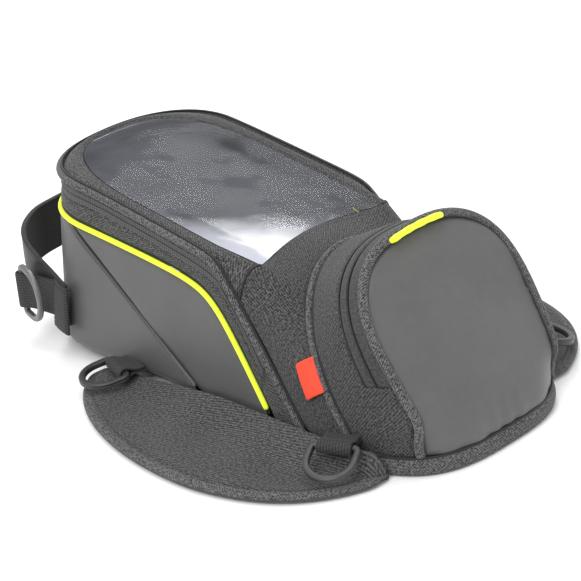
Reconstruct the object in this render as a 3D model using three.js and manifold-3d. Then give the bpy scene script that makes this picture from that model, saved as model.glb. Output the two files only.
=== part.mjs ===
// Motorcycle tank bag: a hollow soft body under a zipped lid with a clear window, a front pocket with its
// own zipped door, two magnet flaps that lie out from the base, four flap rings and a carry handle.
// Millimetres, +X towards the front pocket, +Z up, the flat underside on z = 0.
import * as THREE from "three";
import { mergeVertices } from "three/addons/utils/BufferGeometryUtils.js";
import Module from "manifold-3d";

const wasm = await Module();
wasm.setup();

// ---- driving dimensions ----
const FABRIC = 2; // thickness of a laminated panel
const GAP = 0.4; // clearance between neighbouring pieces
const SEAM_GAP = 0.8; // clearance between a panel and the piping along its edge
const TAIL_CENTRE_X = -100; // where the tall end starts to round off in plan
const TAIL_DEPTH = { base: 58, top: 55 };
const HALF_WIDTH = { base: 78, top: 66 };
const TAIL_POWER = { base: 2.6, top: 2.3 };
const WALL_FOOT_Z = 8;
const WALL_HEAD_Z = 120;
const BOTTOM_ROUND = 11; // radius that turns the walls under the bag
const BOTTOM_ROUND_Z = 14;
const LID_SLOPE = 0.153; // fall of the lid towards the pocket
const LID_Z = 106.96; // lid plane height at x = 0
const LID_MAX_Z = 126.5;
const LID_FRONT_X = 32; // front edge of the swinging part of the lid
const PIPING_R = 1.7;
const LID_PIPING_R = 1.9;
const ZIP_TAPE = 3.2; // visible width of one half of the main zip
const WINDOW = { tail: -147, front: 27, halfWidth: 55 };
const POUCH_DEPTH = 13; // phone space under the window
const WELT = { halfWidth: 74, springZ: 15, rise: 83, lean: 0.86, x0: 147.9 };
const DOOR = {
  apexZ: 126.6,
  apexX: 124.4,
  lean: 0.605,
  halfWidth: 65,
  crown: 62,
  power: 2.6,
  length: 130,
  taper: 6,
};
const DOOR_PIPING_R = 2.6;
const FOLD_Q = 92; // distance from the door's apex down to its fold
const DOOR_BULGE = 5;
const ZIP_ARC = { rear: 0.59, line: 0.74, front: 0.9, end: 0.13 };
const BASE = { frontCentreX: 110, frontDepth: 82.5, halfWidth: 76, power: 3, thickness: 2 };
const RIM_HEIGHT = 11.5;
const FLAP = {
  peakX: 60,
  rearLength: 140,
  frontLength: 103,
  reach: 70,
  thickness: 6,
  rootGap: 5.5,
  outerZ: 6.6,
};
const FLAP_ROOT_Z = { rear: 9, front: 18, from: -60, to: 40 };
const FLAP_RAISED = 0.55; // share of the flap's width that the raised root takes up
const FLAP_END = 6; // the pad stops this short of the binding's ends
const FLAP_SKIN = 1;
const MAGNET = { radius: 12, thickness: 2.6 };
const WEBBING = { width: 25, thickness: 1.6 };
const RING = { width: 34, depth: 27, bar: 4.4, thickness: 4.2 };
const HANDLE = { height: 35, endHeight: 28, thickness: 3, rearX: -193.7, z: 57, mountZ: 35 };
const PATCH = { rear: -126, front: -114, low: 19, high: 50, proud: 8.6, thickness: 1.6 };

// A seam line on a side wall runs gently down from the tall end, then steeply to the foot in front. Each run
// is a height at x = 0 and a fall. turn rounds the corner between them, limit levels the tall end.
const SEAM_LINE = { gentle: [106.5, LID_SLOPE], steep: [127.6, 1.2], turn: 3, limit: [122.5, 1.5] };
const ZIP_LINE = { gentle: [98.6, 0.1575], steep: [136.6, 1.5], turn: 8, limit: [113.5, 1.5] };
const NEON_LINE = { gentle: [87.6, 0.0773], steep: [111.6, 1.4], turn: 11, limit: [97, 1] };
const CRESCENT_LINE = { z: 16, fall: 0.66 };
const FOOT = { z: 3, rise: 6, from: 60, to: 158 }; // the underside lifts towards the tall end
const HANDLE_POINTS = [
  [-139, 73.2, 38.5],
  [-153, 72.6, 45],
  [-167, 69, 51],
  [-178, 60, 55],
]; // the middle of the strap on its way round to the back

// ---- materials ----
function fabricMaterial(color, roughness) {
  return new THREE.MeshStandardMaterial({ color, roughness, metalness: 0 });
}
const coated = () => fabricMaterial(0x6c6c6e, 0.5);
const woven = () => fabricMaterial(0x4a4a4b, 0.9);
const webbing = () => fabricMaterial(0x383839, 0.95);
const neon = () => fabricMaterial(0xe2f23c, 0.6);
const red = () => fabricMaterial(0xe83a1e, 0.6);
const board = () => fabricMaterial(0x222222, 0.7);
const plastic = () => fabricMaterial(0x1d1d1f, 0.45);
function film() {
  return new THREE.MeshStandardMaterial({
    color: 0xdfe3ee,
    roughness: 0.08,
    metalness: 0,
    transparent: true,
    opacity: 0.35,
  });
}
function steel() {
  return new THREE.MeshStandardMaterial({ color: 0x7d7d7a, roughness: 0.4, metalness: 0.8 });
}

// ---- small maths ----
const lerp = THREE.MathUtils.lerp;
const clamp = THREE.MathUtils.clamp;
const smooth = THREE.MathUtils.smoothstep;
const V = (x, y, z) => new THREE.Vector3(x, y, z);
const signedPower = (value, power) => Math.sign(value) * Math.pow(Math.abs(value), power);
function softMin(a, b, k) {
  return (a + b) / 2 - Math.sqrt(((a - b) / 2) ** 2 + k * k);
}

// ---- seam lines on the side walls, as heights over x ----
const lidPlane = (x) => softMin(LID_Z - LID_SLOPE * x, LID_MAX_Z + 0.8, 1.5);
function seamLine({ gentle, steep, turn, limit }) {
  return (x) => {
    const corner = softMin(gentle[0] - gentle[1] * x, steep[0] - steep[1] * x, turn);
    return softMin(corner, limit[0], limit[1]);
  };
}
const seamZ = seamLine(SEAM_LINE);
const zipZ = seamLine(ZIP_LINE);
const neonZ = seamLine(NEON_LINE);
const crescentZ = (x) => CRESCENT_LINE.z - CRESCENT_LINE.fall * x;
const footZ = (x) => FOOT.z + FOOT.rise * smooth(-x, FOOT.from, FOOT.to);

// The line at a distance from another one, measured square to it: positive is above.
function beside(line, distance) {
  return (x) => line(x) + distance * Math.hypot(1, line(x + 0.5) - line(x - 0.5));
}

// A point on the outside of the side wall: s runs from the near front round the tall end to the far front.
const WALL_FRONT_X = 100;
const STRAIGHT = 0.34;
function wall(s, z) {
  const h = clamp((z - WALL_FOOT_Z) / (WALL_HEAD_Z - WALL_FOOT_Z), 0, 1.05);
  const under = Math.max(0, BOTTOM_ROUND_Z - z) ** 2 / BOTTOM_ROUND;
  const half = lerp(HALF_WIDTH.base, HALF_WIDTH.top, h) - under;
  const depth = lerp(TAIL_DEPTH.base, TAIL_DEPTH.top, h) - under;
  const power = lerp(TAIL_POWER.base, TAIL_POWER.top, h);
  if (s < STRAIGHT) return V(lerp(WALL_FRONT_X, TAIL_CENTRE_X, s / STRAIGHT), -half, z);
  if (s > 1 - STRAIGHT) return V(lerp(TAIL_CENTRE_X, WALL_FRONT_X, (s - 1 + STRAIGHT) / STRAIGHT), half, z);
  const angle = (Math.PI * (s - STRAIGHT)) / (1 - 2 * STRAIGHT);
  const x = TAIL_CENTRE_X - depth * Math.pow(Math.sin(angle), 2 / power);
  return V(x, -half * signedPower(Math.cos(angle), 2 / power), z);
}
const wallS = (x) => (STRAIGHT * (WALL_FRONT_X - x)) / (WALL_FRONT_X - TAIL_CENTRE_X);
function wallX(s) {
  return wall(s, 60).x;
}

// ---- solid builders ----
function solidGeometry(positions, index) {
  const geometry = new THREE.BufferGeometry();
  geometry.setAttribute("position", new THREE.Float32BufferAttribute(positions, 3));
  geometry.setIndex(index);
  geometry.computeVertexNormals();
  return geometry;
}

// A sheet of even thickness under the surface point(u, v), its outside facing du x dv.
// wrap joins u = 1 to u = 0.
function sheet(point, across, along, thickness, { wrap = false, direction = null } = {}) {
  const columns = wrap ? across : across + 1;
  const rows = along + 1;
  const outer = [];
  const inner = [];
  const step = 1e-3;
  for (let i = 0; i < columns; i++) {
    for (let j = 0; j < rows; j++) {
      const u = i / across;
      const v = j / along;
      const here = point(u, v);
      const du = point(wrap ? u + step : Math.min(1, u + step), v).sub(
        point(wrap ? u - step : Math.max(0, u - step), v),
      );
      const dv = point(u, Math.min(1, v + step)).sub(point(u, Math.max(0, v - step)));
      const normal = direction ? direction.clone() : du.cross(dv).normalize();
      outer.push(...here.toArray());
      inner.push(...here.addScaledVector(normal, -thickness).toArray());
    }
  }
  const shift = columns * rows;
  const index = [];
  const at = (i, j) => (i % columns) * rows + j;
  const quad = (a, b, c, d) => index.push(a, b, c, a, c, d);
  for (let i = 0; i < across; i++) {
    for (let j = 0; j < along; j++) {
      quad(at(i, j), at(i + 1, j), at(i + 1, j + 1), at(i, j + 1));
      quad(at(i, j) + shift, at(i, j + 1) + shift, at(i + 1, j + 1) + shift, at(i + 1, j) + shift);
    }
    quad(at(i, 0) + shift, at(i + 1, 0) + shift, at(i + 1, 0), at(i, 0));
    quad(at(i, along), at(i + 1, along), at(i + 1, along) + shift, at(i, along) + shift);
  }
  for (let j = 0; !wrap && j < along; j++) {
    quad(at(0, j), at(0, j + 1), at(0, j + 1) + shift, at(0, j) + shift);
    quad(at(across, j), at(across, j) + shift, at(across, j + 1) + shift, at(across, j + 1));
  }
  return solidGeometry([...outer, ...inner], index);
}

// A round cord of one radius along a list of points.
function tube(points, radius, steps) {
  const section = new THREE.Shape();
  section.absarc(0, 0, radius, 0, 2 * Math.PI);
  return new THREE.ExtrudeGeometry(section, {
    steps,
    curveSegments: 4,
    bevelEnabled: false,
    extrudePath: new THREE.CatmullRomCurve3(points, false, "centripetal"),
  });
}

function toSolid(geometry) {
  const bare = geometry.clone();
  bare.deleteAttribute("normal");
  bare.deleteAttribute("uv");
  const merged = mergeVertices(bare, 1e-4);
  return new wasm.Manifold(
    new wasm.Mesh({
      numProp: 3,
      vertProperties: new Float32Array(merged.attributes.position.array),
      triVerts: new Uint32Array(merged.index.array),
    }),
  );
}

function fromSolid(solid) {
  const mesh = solid.getMesh();
  return solidGeometry(Array.from(mesh.vertProperties), Array.from(mesh.triVerts));
}

function named(name, geometry, material) {
  const mesh = new THREE.Mesh(geometry, material);
  mesh.name = name;
  return mesh;
}

const sampled = (count, make) => Array.from({ length: count + 1 }, (_, i) => make(i / count));

// ---- base ----
function baseHalf(x) {
  const forward = Math.max(0, (x - BASE.frontCentreX) / BASE.frontDepth);
  return BASE.halfWidth * Math.pow(Math.max(0, 1 - forward ** BASE.power), 1 / BASE.power);
}

// Half outline of the underside: inset under the rounded walls, full width under the pocket.
function soleHalf(x) {
  const back = clamp((TAIL_CENTRE_X - x) / (TAIL_DEPTH.base - BOTTOM_ROUND), 0, 1);
  const width = HALF_WIDTH.base - BOTTOM_ROUND - 2;
  const rear = width * Math.pow(1 - back ** TAIL_POWER.base, 1 / TAIL_POWER.base);
  return lerp(rear, baseHalf(x + 3) - 3.4, smooth(x, 90, 125));
}
const soleZ = (x) => footZ(x) - FOOT.z;

function plate(halfAt, zAt, fromX, toX, thickness, count) {
  const x = (u) => lerp(fromX, toX, 0.5 - 0.5 * Math.cos(Math.PI * u));
  return sheet((u, v) => V(x(u), lerp(-1, 1, v) * halfAt(x(u)), zAt(x(u))), count, 1, thickness, {
    direction: V(0, 0, 1),
  });
}

function basePanel() {
  return named(
    "base_panel",
    plate(soleHalf, (x) => soleZ(x) + BASE.thickness, TAIL_CENTRE_X - 46, 188.5, BASE.thickness, 28),
    woven(),
  );
}

function baseBoard() {
  const half = (x) => soleHalf(x) - 7;
  return named("base_board", plate(half, (x) => soleZ(x) + 4.4, TAIL_CENTRE_X - 36, 178, 2, 14), board());
}

function baseRim() {
  const limit = 0.48 * Math.PI;
  const point = (u, v) => {
    const angle = lerp(-limit, limit, u);
    const swell = 1.2 * Math.sin(Math.PI * v);
    const x = BASE.frontCentreX + (BASE.frontDepth + swell) * signedPower(Math.cos(angle), 2 / BASE.power);
    const y = (BASE.halfWidth + swell) * signedPower(Math.sin(angle), 2 / BASE.power);
    return V(x, y, lerp(0.2, RIM_HEIGHT, v));
  };
  return named("base_rim", sheet(point, 26, 2, 2.6), woven());
}

// ---- side walls ----
function wallBand(name, fromS, toS, lowZ, highZ, steps, rows, material, inset = 0) {
  const point = (u, v) => {
    const s = lerp(fromS, toS, u);
    const x = wallX(s);
    return wall(s, lerp(lowZ(x), highZ(x), v));
  };
  const inward = (u, v) => {
    const outer = point(u, v);
    if (!inset) return outer;
    const step = 1e-3;
    const du = point(Math.min(1, u + step), v).sub(point(Math.max(0, u - step), v));
    const dv = point(u, Math.min(1, v + step)).sub(point(u, Math.max(0, v - step)));
    return outer.addScaledVector(dv.cross(du).normalize(), -inset);
  };
  return named(name, sheet((u, v) => inward(1 - u, v), steps, rows, FABRIC), material);
}

function lowerShell() {
  const underPiping = beside(neonZ, -PIPING_R - SEAM_GAP);
  const underSeam = beside(crescentZ, -GAP);
  const from = wallS(0);
  const top = (x) => Math.min(underPiping(x), underSeam(x));
  return wallBand("lower_shell", from, 1 - from, footZ, top, 32, 3, coated());
}

function crescentPanel(name, side) {
  const from = wallS(60);
  const to = wallS(-88);
  const overSeam = beside(crescentZ, GAP);
  const low = (x) => Math.max(overSeam(x), footZ(x));
  const [a, b] = side < 0 ? [from, to] : [1 - to, 1 - from];
  return wallBand(name, a, b, low, beside(neonZ, -PIPING_R - SEAM_GAP), 18, 2, coated());
}

function alongWall(fromS, toS, lineZ, proud, count) {
  return sampled(count, (t) => {
    const s = lerp(fromS, toS, t);
    const point = wall(s, lineZ(wallX(s)));
    const out = wall(s + 1e-3, point.z).sub(wall(s - 1e-3, point.z));
    return point.add(V(out.y, -out.x, 0).normalize().multiplyScalar(-proud));
  });
}

function neonPiping() {
  const from = wallS(66);
  return named("neon_piping", tube(alongWall(from, 1 - from, neonZ, 0.2, 40), PIPING_R, 36), neon());
}

const ZIP_END_X = 64;

function lowerBand() {
  const from = wallS(ZIP_END_X - 2);
  const low = beside(neonZ, PIPING_R + SEAM_GAP);
  return wallBand("lower_band", from, 1 - from, low, beside(zipZ, -ZIP_TAPE - SEAM_GAP), 36, 1, woven());
}

function zipTape(name, fromX, low, high) {
  const from = wallS(fromX);
  return wallBand(name, from, 1 - from, low, high, 34, 1, webbing(), 0.4);
}

function zipTapeLower() {
  return zipTape("main_zip_tape_lower", ZIP_END_X - 2, beside(zipZ, -ZIP_TAPE), beside(zipZ, -GAP));
}

function bandFront(name, side) {
  const from = wallS(86);
  const to = wallS(LID_FRONT_X - 6);
  const overZip = beside(zipZ, SEAM_GAP);
  const overPiping = beside(neonZ, PIPING_R + GAP + 0.6);
  const low = (x) => (x < ZIP_END_X ? overZip(x) : Math.max(overPiping(x), 5));
  const [a, b] = side < 0 ? [from, to] : [1 - to, 1 - from];
  return wallBand(name, a, b, low, beside(seamZ, -LID_PIPING_R - GAP), 20, 1, woven());
}

// ---- arches of the front: the lid's brow, the welt behind the pocket and the door's edge ----
const WELT_STEPS = 24;
function weltPoint(angle, inset = 0) {
  const z = WELT.springZ + (WELT.rise - inset) * Math.sin(angle);
  return V(WELT.x0 - WELT.lean * z, -(WELT.halfWidth - inset) * Math.cos(angle), z);
}
const weltCurve = new THREE.CatmullRomCurve3(sampled(WELT_STEPS, (t) => weltPoint(Math.PI * t)));

const doorDown = V(DOOR.lean, 0, -1).normalize();
const doorOut = V(1, 0, DOOR.lean).normalize();
function doorHalf(q) {
  const lower = Math.max(0, (q - DOOR.crown) / (DOOR.length - DOOR.crown));
  return DOOR.halfWidth - DOOR.taper * Math.pow(lower, 1.3);
}
// Below the fold the sides draw back until the foot follows the curved rim of the base.
function doorTuck(q, y) {
  const footX = DOOR.apexX + doorDown.x * DOOR.length;
  const rim = Math.pow(1 - Math.abs(y / BASE.halfWidth) ** BASE.power, 1 / BASE.power);
  const rimX = BASE.frontCentreX + BASE.frontDepth * rim;
  return Math.max(0, footX - rimX) * smooth(q, FOLD_Q, DOOR.length) ** 2;
}
function doorPlane(q, y, out = 0) {
  const apex = V(DOOR.apexX - doorTuck(q, y), y, DOOR.apexZ);
  return apex.addScaledVector(doorDown, q).addScaledVector(doorOut, out);
}
function doorEdge(t) {
  const leg = 0.25;
  if (t < leg) {
    const q = lerp(DOOR.length, DOOR.crown, t / leg);
    return doorPlane(q, -doorHalf(q));
  }
  if (t > 1 - leg) {
    const q = lerp(DOOR.crown, DOOR.length, (t - 1 + leg) / leg);
    return doorPlane(q, doorHalf(q));
  }
  const angle = (Math.PI * (t - leg)) / (1 - 2 * leg);
  const rise = Math.pow(Math.sin(angle), 2 / DOOR.power);
  return doorPlane(DOOR.crown * (1 - rise), -DOOR.halfWidth * signedPower(Math.cos(angle), 2 / DOOR.power));
}
const doorCurve = new THREE.CatmullRomCurve3(sampled(40, doorEdge));

const BROW_SIDE_X = 40; // where the black seam leaves the side and crosses over the top
function browPoints(side) {
  const leg = [98, 84, 70, 56, 48].map((x) => V(x, side * wallHalfAt(seamZ(x)), seamZ(x)));
  const over = [V(BROW_SIDE_X, side * 66.2, 87), V(44, side * 60, 94), V(48, side * 48, 98)];
  return [...leg, ...over, V(42, side * 22, 100.6)];
}
function wallHalfAt(z) {
  return -wall(0, z).y;
}
const browCurve = new THREE.CatmullRomCurve3([
  ...browPoints(-1),
  V(38, 0, 101.4),
  ...browPoints(1).reverse(),
]);

// A point between two arches, matched by their lengths, swollen outwards between them.
function between(first, second, u, v, swell) {
  const a = first.getPointAt(clamp(u, 0, 1));
  const b = second.getPointAt(clamp(u, 0, 1));
  const middle = a.clone().lerp(b, v);
  const outward = V(0, middle.y, middle.z - 40).normalize();
  return middle.addScaledVector(outward, swell * Math.sin(Math.PI * v));
}

// The same, kept clear of both arches by their own distances.
function frontPoint(u, v, rearGap = 2.8, frontGap = 3.2) {
  const width = browCurve.getPointAt(clamp(u, 0, 1)).distanceTo(weltCurve.getPointAt(clamp(u, 0, 1)));
  return between(browCurve, weltCurve, u, lerp(rearGap / width, 1 - frontGap / width, v), 1.5);
}

function frontPanel() {
  return named("front_panel", sheet((u, v) => frontPoint(u, v), 26, 2, FABRIC), woven());
}

function weltPiping() {
  const points = sampled(WELT_STEPS, (t) => weltPoint(Math.PI * lerp(0.02, 0.98, t)));
  return named("pocket_welt", tube(points, 2.1, 26), woven());
}

function gussetPoint(u, v) {
  return between(weltCurve, doorCurve, u, v, 3);
}

const GUSSET_FROM = 0.058; // share of the width kept free for the welt
function pocketGusset() {
  const reach = (u) => (u < ZIP_ARC.end || u > 1 - ZIP_ARC.end ? 0.93 : ZIP_ARC.rear);
  const foot = ZIP_ARC.end - 0.002;
  const all = [
    ...sampled(3, (t) => t * foot),
    ...sampled(18, (t) => lerp(ZIP_ARC.end, 1 - ZIP_ARC.end, t)),
    ...sampled(3, (t) => 1 - (1 - t) * foot),
  ];
  const at = (u) => {
    const place = clamp(u, 0, 1) * (all.length - 1);
    const low = Math.min(all.length - 2, Math.floor(place));
    return lerp(all[low], all[low + 1], place - low);
  };
  const point = (u, v) => {
    const place = at(u);
    return gussetPoint(place, lerp(GUSSET_FROM, reach(place), v));
  };
  return named("pocket_gusset", sheet(point, all.length - 1, 2, FABRIC), woven());
}

function pocketZipTape(name, from, to) {
  const inset = 0.004;
  const start = ZIP_ARC.end + inset;
  const point = (u, v) => gussetPoint(lerp(start, 1 - start, u), lerp(from, to, v));
  return named(name, sheet(point, 24, 1, 1.4), webbing());
}

function doorPanelPart(name, fromRow, toRow) {
  const inset = 4;
  const scale = (DOOR.halfWidth - inset) / DOOR.halfWidth;
  const point = (u, v) => {
    const across = lerp(-1, 1, u);
    const fall = 1 - Math.pow(1 - Math.abs(across) ** DOOR.power, 1 / DOOR.power);
    const top = inset + DOOR.crown * fall;
    const q = Math.max(lerp(fromRow < 0 ? top : fromRow, toRow, v), 0);
    const crown = DOOR_BULGE * (1 - across * across) * smooth(FOLD_Q - q, 0, 50) * smooth(q, 0, 20);
    return doorPlane(q, across * doorHalf(q) * scale, crown);
  };
  return named(name, sheet((u, v) => point(u, 1 - v), 16, fromRow < 0 ? 4 : 3, FABRIC), coated());
}

function doorPipingPart(name, from, to, steps) {
  const points = sampled(steps, (t) => doorCurve.getPointAt(lerp(from, to, t)));
  return named(name, tube(points, DOOR_PIPING_R, steps), woven());
}

function pocketDivider() {
  const inset = 5;
  const point = (u, v) => {
    const across = lerp(-1, 1, u);
    const y = (WELT.halfWidth - inset) * across;
    const top = WELT.springZ + (WELT.rise - inset) * Math.sqrt(Math.max(0, 1 - across * across));
    const z = lerp(6, top, v);
    return V(WELT.x0 - WELT.lean * z, y, z);
  };
  return named("pocket_divider", sheet((u, v) => point(lerp(0.01, 0.99, u), v), 16, 1, 1.6), woven());
}

// A folded tab sewn into the welt seam, lying back over the front panel.
function labelTab() {
  const point = (u, v) => {
    const place = lerp(0.11, 0.2, u);
    const step = 1e-3;
    const du = frontPoint(place + step, 0.9).sub(frontPoint(place - step, 0.9));
    const dv = frontPoint(place, 0.92).sub(frontPoint(place, 0.88));
    const width = browCurve.getPointAt(place).distanceTo(weltCurve.getPointAt(place));
    return frontPoint(place, lerp(1 - 12 / width, 1, v)).addScaledVector(du.cross(dv).normalize(), 1.5);
  };
  return named("label_tab", sheet(point, 4, 2, 0.9), red());
}

// ---- lid ----
function lidLoop(angle, tail, front, half) {
  const centre = (tail + front) / 2;
  const reach = (front - tail) / 2;
  const power = Math.cos(angle) < 0 ? 2.4 : 7;
  const x = centre + reach * signedPower(Math.cos(angle), 2 / power);
  return V(x, half * signedPower(Math.sin(angle), 2 / power), 0);
}

function lidTop(x, y) {
  const tail = Math.max(0, (TAIL_CENTRE_X - x) / TAIL_DEPTH.top);
  const edge = Math.min(1, Math.pow(tail ** 2.3 + (Math.abs(y) / HALF_WIDTH.top) ** 2.3, 1 / 2.3));
  return lerp(lidPlane(x), seamZ(Math.min(x, 12)) + 2, Math.pow(edge, 7));
}

function lidPanel() {
  const point = (u, v) => {
    const angle = 2 * Math.PI * u;
    const rim = lidLoop(angle, -152.4, LID_FRONT_X, HALF_WIDTH.top - 2.6);
    const edge = lidLoop(angle, WINDOW.tail, WINDOW.front, WINDOW.halfWidth);
    const spot = rim.lerp(edge, v);
    spot.z = lidTop(spot.x, spot.y);
    return spot;
  };
  return named("lid_panel", sheet(point, 40, 1, FABRIC, { wrap: true, direction: V(0, 0, 1) }), woven());
}

function windowSheet(name, margin, drop, thickness, material) {
  const point = (u, v) => {
    const angle = 2 * Math.PI * u;
    const rim = lidLoop(angle, WINDOW.tail - margin, WINDOW.front + margin, WINDOW.halfWidth + margin);
    const centre = V((WINDOW.tail + WINDOW.front) / 2, 0, 0);
    const spot = rim.lerp(centre, v);
    spot.z = lidTop(spot.x, spot.y) - drop;
    return spot;
  };
  return named(name, discSheet(point, 28, 2, thickness), material);
}

// A sheet like a disc: rings of points that close on one centre point.
function discSheet(point, around, rings, thickness) {
  const positions = [];
  for (const sink of [0, -thickness]) {
    for (let j = 0; j < rings; j++) {
      for (let i = 0; i < around; i++) {
        const spot = point(i / around, j / rings);
        positions.push(spot.x, spot.y, spot.z + sink);
      }
    }
    const middle = point(0, 1);
    positions.push(middle.x, middle.y, middle.z + sink);
  }
  const layer = around * rings + 1;
  const at = (i, j) => j * around + (i % around);
  const index = [];
  const quad = (a, b, c, d) => index.push(a, b, c, a, c, d);
  for (let i = 0; i < around; i++) {
    for (let j = 0; j < rings - 1; j++) {
      quad(at(i, j), at(i + 1, j), at(i + 1, j + 1), at(i, j + 1));
      quad(at(i, j) + layer, at(i, j + 1) + layer, at(i + 1, j + 1) + layer, at(i + 1, j) + layer);
    }
    index.push(at(i, rings - 1), at(i + 1, rings - 1), layer - 1);
    index.push(at(i + 1, rings - 1) + layer, at(i, rings - 1) + layer, 2 * layer - 1);
    quad(at(i, 0) + layer, at(i + 1, 0) + layer, at(i + 1, 0), at(i, 0));
  }
  return solidGeometry(positions, index);
}

function windowFilm() {
  return windowSheet("window_film", -0.6, -0.3, 1.2, film());
}

// The backing sheet of the phone pouch, hung from the lid by a web on each side, its ends open.
function windowPouch() {
  let solid = toSolid(windowSheet("", 4, POUCH_DEPTH, 1.4, woven()).geometry);
  for (const side of [-1, 1]) solid = solid.add(toSolid(pouchWeb(side)));
  return named("window_pouch", fromSolid(solid), woven());
}

function pouchWeb(side) {
  const middle = WINDOW.halfWidth + 1.5;
  const point = (u, v) => {
    const x = lerp(-85, 16, u);
    return V(x, side * middle, lidTop(x, middle) - lerp(FABRIC + 0.6, POUCH_DEPTH + 0.5, v));
  };
  const facing = side < 0 ? point : (u, v) => point(1 - u, v);
  return sheet((u, v) => facing(u, 1 - v), 6, 1, 1.2);
}

function lidRim() {
  const from = wallS(LID_FRONT_X - 8);
  const low = beside(zipZ, ZIP_TAPE + SEAM_GAP);
  return wallBand("lid_rim", from, 1 - from, low, beside(seamZ, -LID_PIPING_R - GAP), 34, 1, woven());
}

function zipTapeUpper() {
  return zipTape("main_zip_tape_upper", LID_FRONT_X - 8, beside(zipZ, GAP), beside(zipZ, ZIP_TAPE));
}

function lidPiping() {
  const from = wallS(LID_FRONT_X - 2);
  return named("lid_piping", tube(alongWall(from, 1 - from, seamZ, 0.6, 40), LID_PIPING_R, 36), woven());
}

function frontPiping(name, side) {
  const points = [94, 86, 78, 68, 58, 50, 44, LID_FRONT_X + 3].map((x) => {
    const z = seamZ(x);
    return V(x, side * (wallHalfAt(z) + 0.6), z);
  });
  return named(name, tube(points, LID_PIPING_R, 14), woven());
}

// ---- zip sliders ----
// In a slider's own axes x runs along the zip, y stands out of the surface and z is across the zip.
function sliderBody(name) {
  const outline = new THREE.Shape();
  outline.moveTo(-6, -2.6);
  outline.lineTo(5, -4);
  outline.quadraticCurveTo(7, 0, 5, 4);
  outline.lineTo(-6, 2.6);
  outline.closePath();
  const deck = new THREE.ExtrudeGeometry(outline, { depth: 1.4, bevelEnabled: false, curveSegments: 4 });
  const arch = new THREE.Shape([
    new THREE.Vector2(-5, 0),
    new THREE.Vector2(-3.4, 0),
    new THREE.Vector2(-3.4, 2.8),
    new THREE.Vector2(3.4, 2.8),
    new THREE.Vector2(3.4, 0),
    new THREE.Vector2(5, 0),
    new THREE.Vector2(5, 2.8),
    new THREE.Vector2(3.4, 4.2),
    new THREE.Vector2(-3.4, 4.2),
    new THREE.Vector2(-5, 2.8),
  ]);
  const bridge = new THREE.ExtrudeGeometry(arch, { depth: 2.6, bevelEnabled: false });
  bridge.translate(0, 1.3, -1.3);
  deck.rotateX(-Math.PI / 2);
  return named(name, fromSolid(toSolid(deck).add(toSolid(bridge))), steel());
}

// A pull tab that lies flat behind the bridge: its crossbar sits under the arch, its eye round the leg.
const PULL_PIVOT_Y = 2.6;
const PULL_LENGTH = { main: 24, pocket: 26 };
function pullTab(name, length, material) {
  const outline = new THREE.Shape();
  const half = 3.6;
  outline.moveTo(0.8, -half);
  outline.lineTo(0.8, half);
  outline.lineTo(-length + 3, half);
  outline.quadraticCurveTo(-length, half, -length, 0);
  outline.quadraticCurveTo(-length, -half, -length + 3, -half);
  outline.closePath();
  const eye = new THREE.Path();
  eye.moveTo(-0.8, -2.1);
  eye.lineTo(-7.4, -2.1);
  eye.lineTo(-7.4, 2.1);
  eye.lineTo(-0.8, 2.1);
  eye.closePath();
  outline.holes.push(eye);
  const geometry = new THREE.ExtrudeGeometry(outline, { depth: 1, bevelEnabled: false, curveSegments: 4 });
  geometry.rotateX(-Math.PI / 2);
  geometry.translate(0, PULL_PIVOT_Y - 0.5, 0);
  return named(name, geometry, material);
}

function placed(meshes, origin, along, out) {
  const group = new THREE.Group();
  const x = along.clone().normalize();
  const z = x.clone().cross(out).normalize();
  const y = z.clone().cross(x);
  group.quaternion.setFromRotationMatrix(new THREE.Matrix4().makeBasis(x, y, z));
  group.position.copy(origin);
  group.add(...meshes);
  return group;
}

const MAIN_SLIDER = { x: 12, travel: 50, proud: 1, lean: 0.1 };
function mainSlider() {
  const shut = wall(1 - wallS(MAIN_SLIDER.x), zipZ(MAIN_SLIDER.x)).add(V(0, MAIN_SLIDER.proud, 0));
  const fall = zipZ(MAIN_SLIDER.x) - zipZ(MAIN_SLIDER.x - MAIN_SLIDER.travel);
  const meshes = [sliderBody("main_slider"), pullTab("main_slider_pull", PULL_LENGTH.main, neon())];
  return placed(meshes, shut, V(MAIN_SLIDER.travel, 0, fall), V(0, 1, MAIN_SLIDER.lean));
}

const POCKET_SLIDER = { u: 1 - ZIP_ARC.end - 0.02, proud: 2.6, chord: 0.04 };
function pocketSlider() {
  const { u, proud, chord } = POCKET_SLIDER;
  const place = gussetPoint(u, ZIP_ARC.line);
  const along = gussetPoint(u - chord, ZIP_ARC.line).sub(gussetPoint(u + chord, ZIP_ARC.line));
  const across = gussetPoint(u, ZIP_ARC.line + chord).sub(place);
  const out = along.clone().cross(across).normalize();
  const meshes = [sliderBody("pocket_slider"), pullTab("pocket_slider_pull", PULL_LENGTH.pocket, neon())];
  return placed(meshes, place.addScaledVector(out, proud), along, out);
}

// The fabric pull at the top of the door.
const PULL_LOOP = { half: 22.5, rise: 5.8, endRise: 4.4, inset: 2, radius: 1.8 };
function pullLoop() {
  const half = PULL_LOOP.half;
  const points = [-1, -0.86, -0.5, 0, 0.5, 0.86, 1].map((t) => {
    const across = Math.abs((half * t) / DOOR.halfWidth);
    const q = DOOR.crown * (1 - Math.pow(1 - across ** DOOR.power, 1 / DOOR.power));
    const rise = Math.abs(t) > 0.9 ? PULL_LOOP.endRise : PULL_LOOP.rise;
    return doorPlane(q + PULL_LOOP.inset, half * t, rise);
  });
  return named("pocket_pull_loop", tube(points, PULL_LOOP.radius, 12), neon());
}

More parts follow.
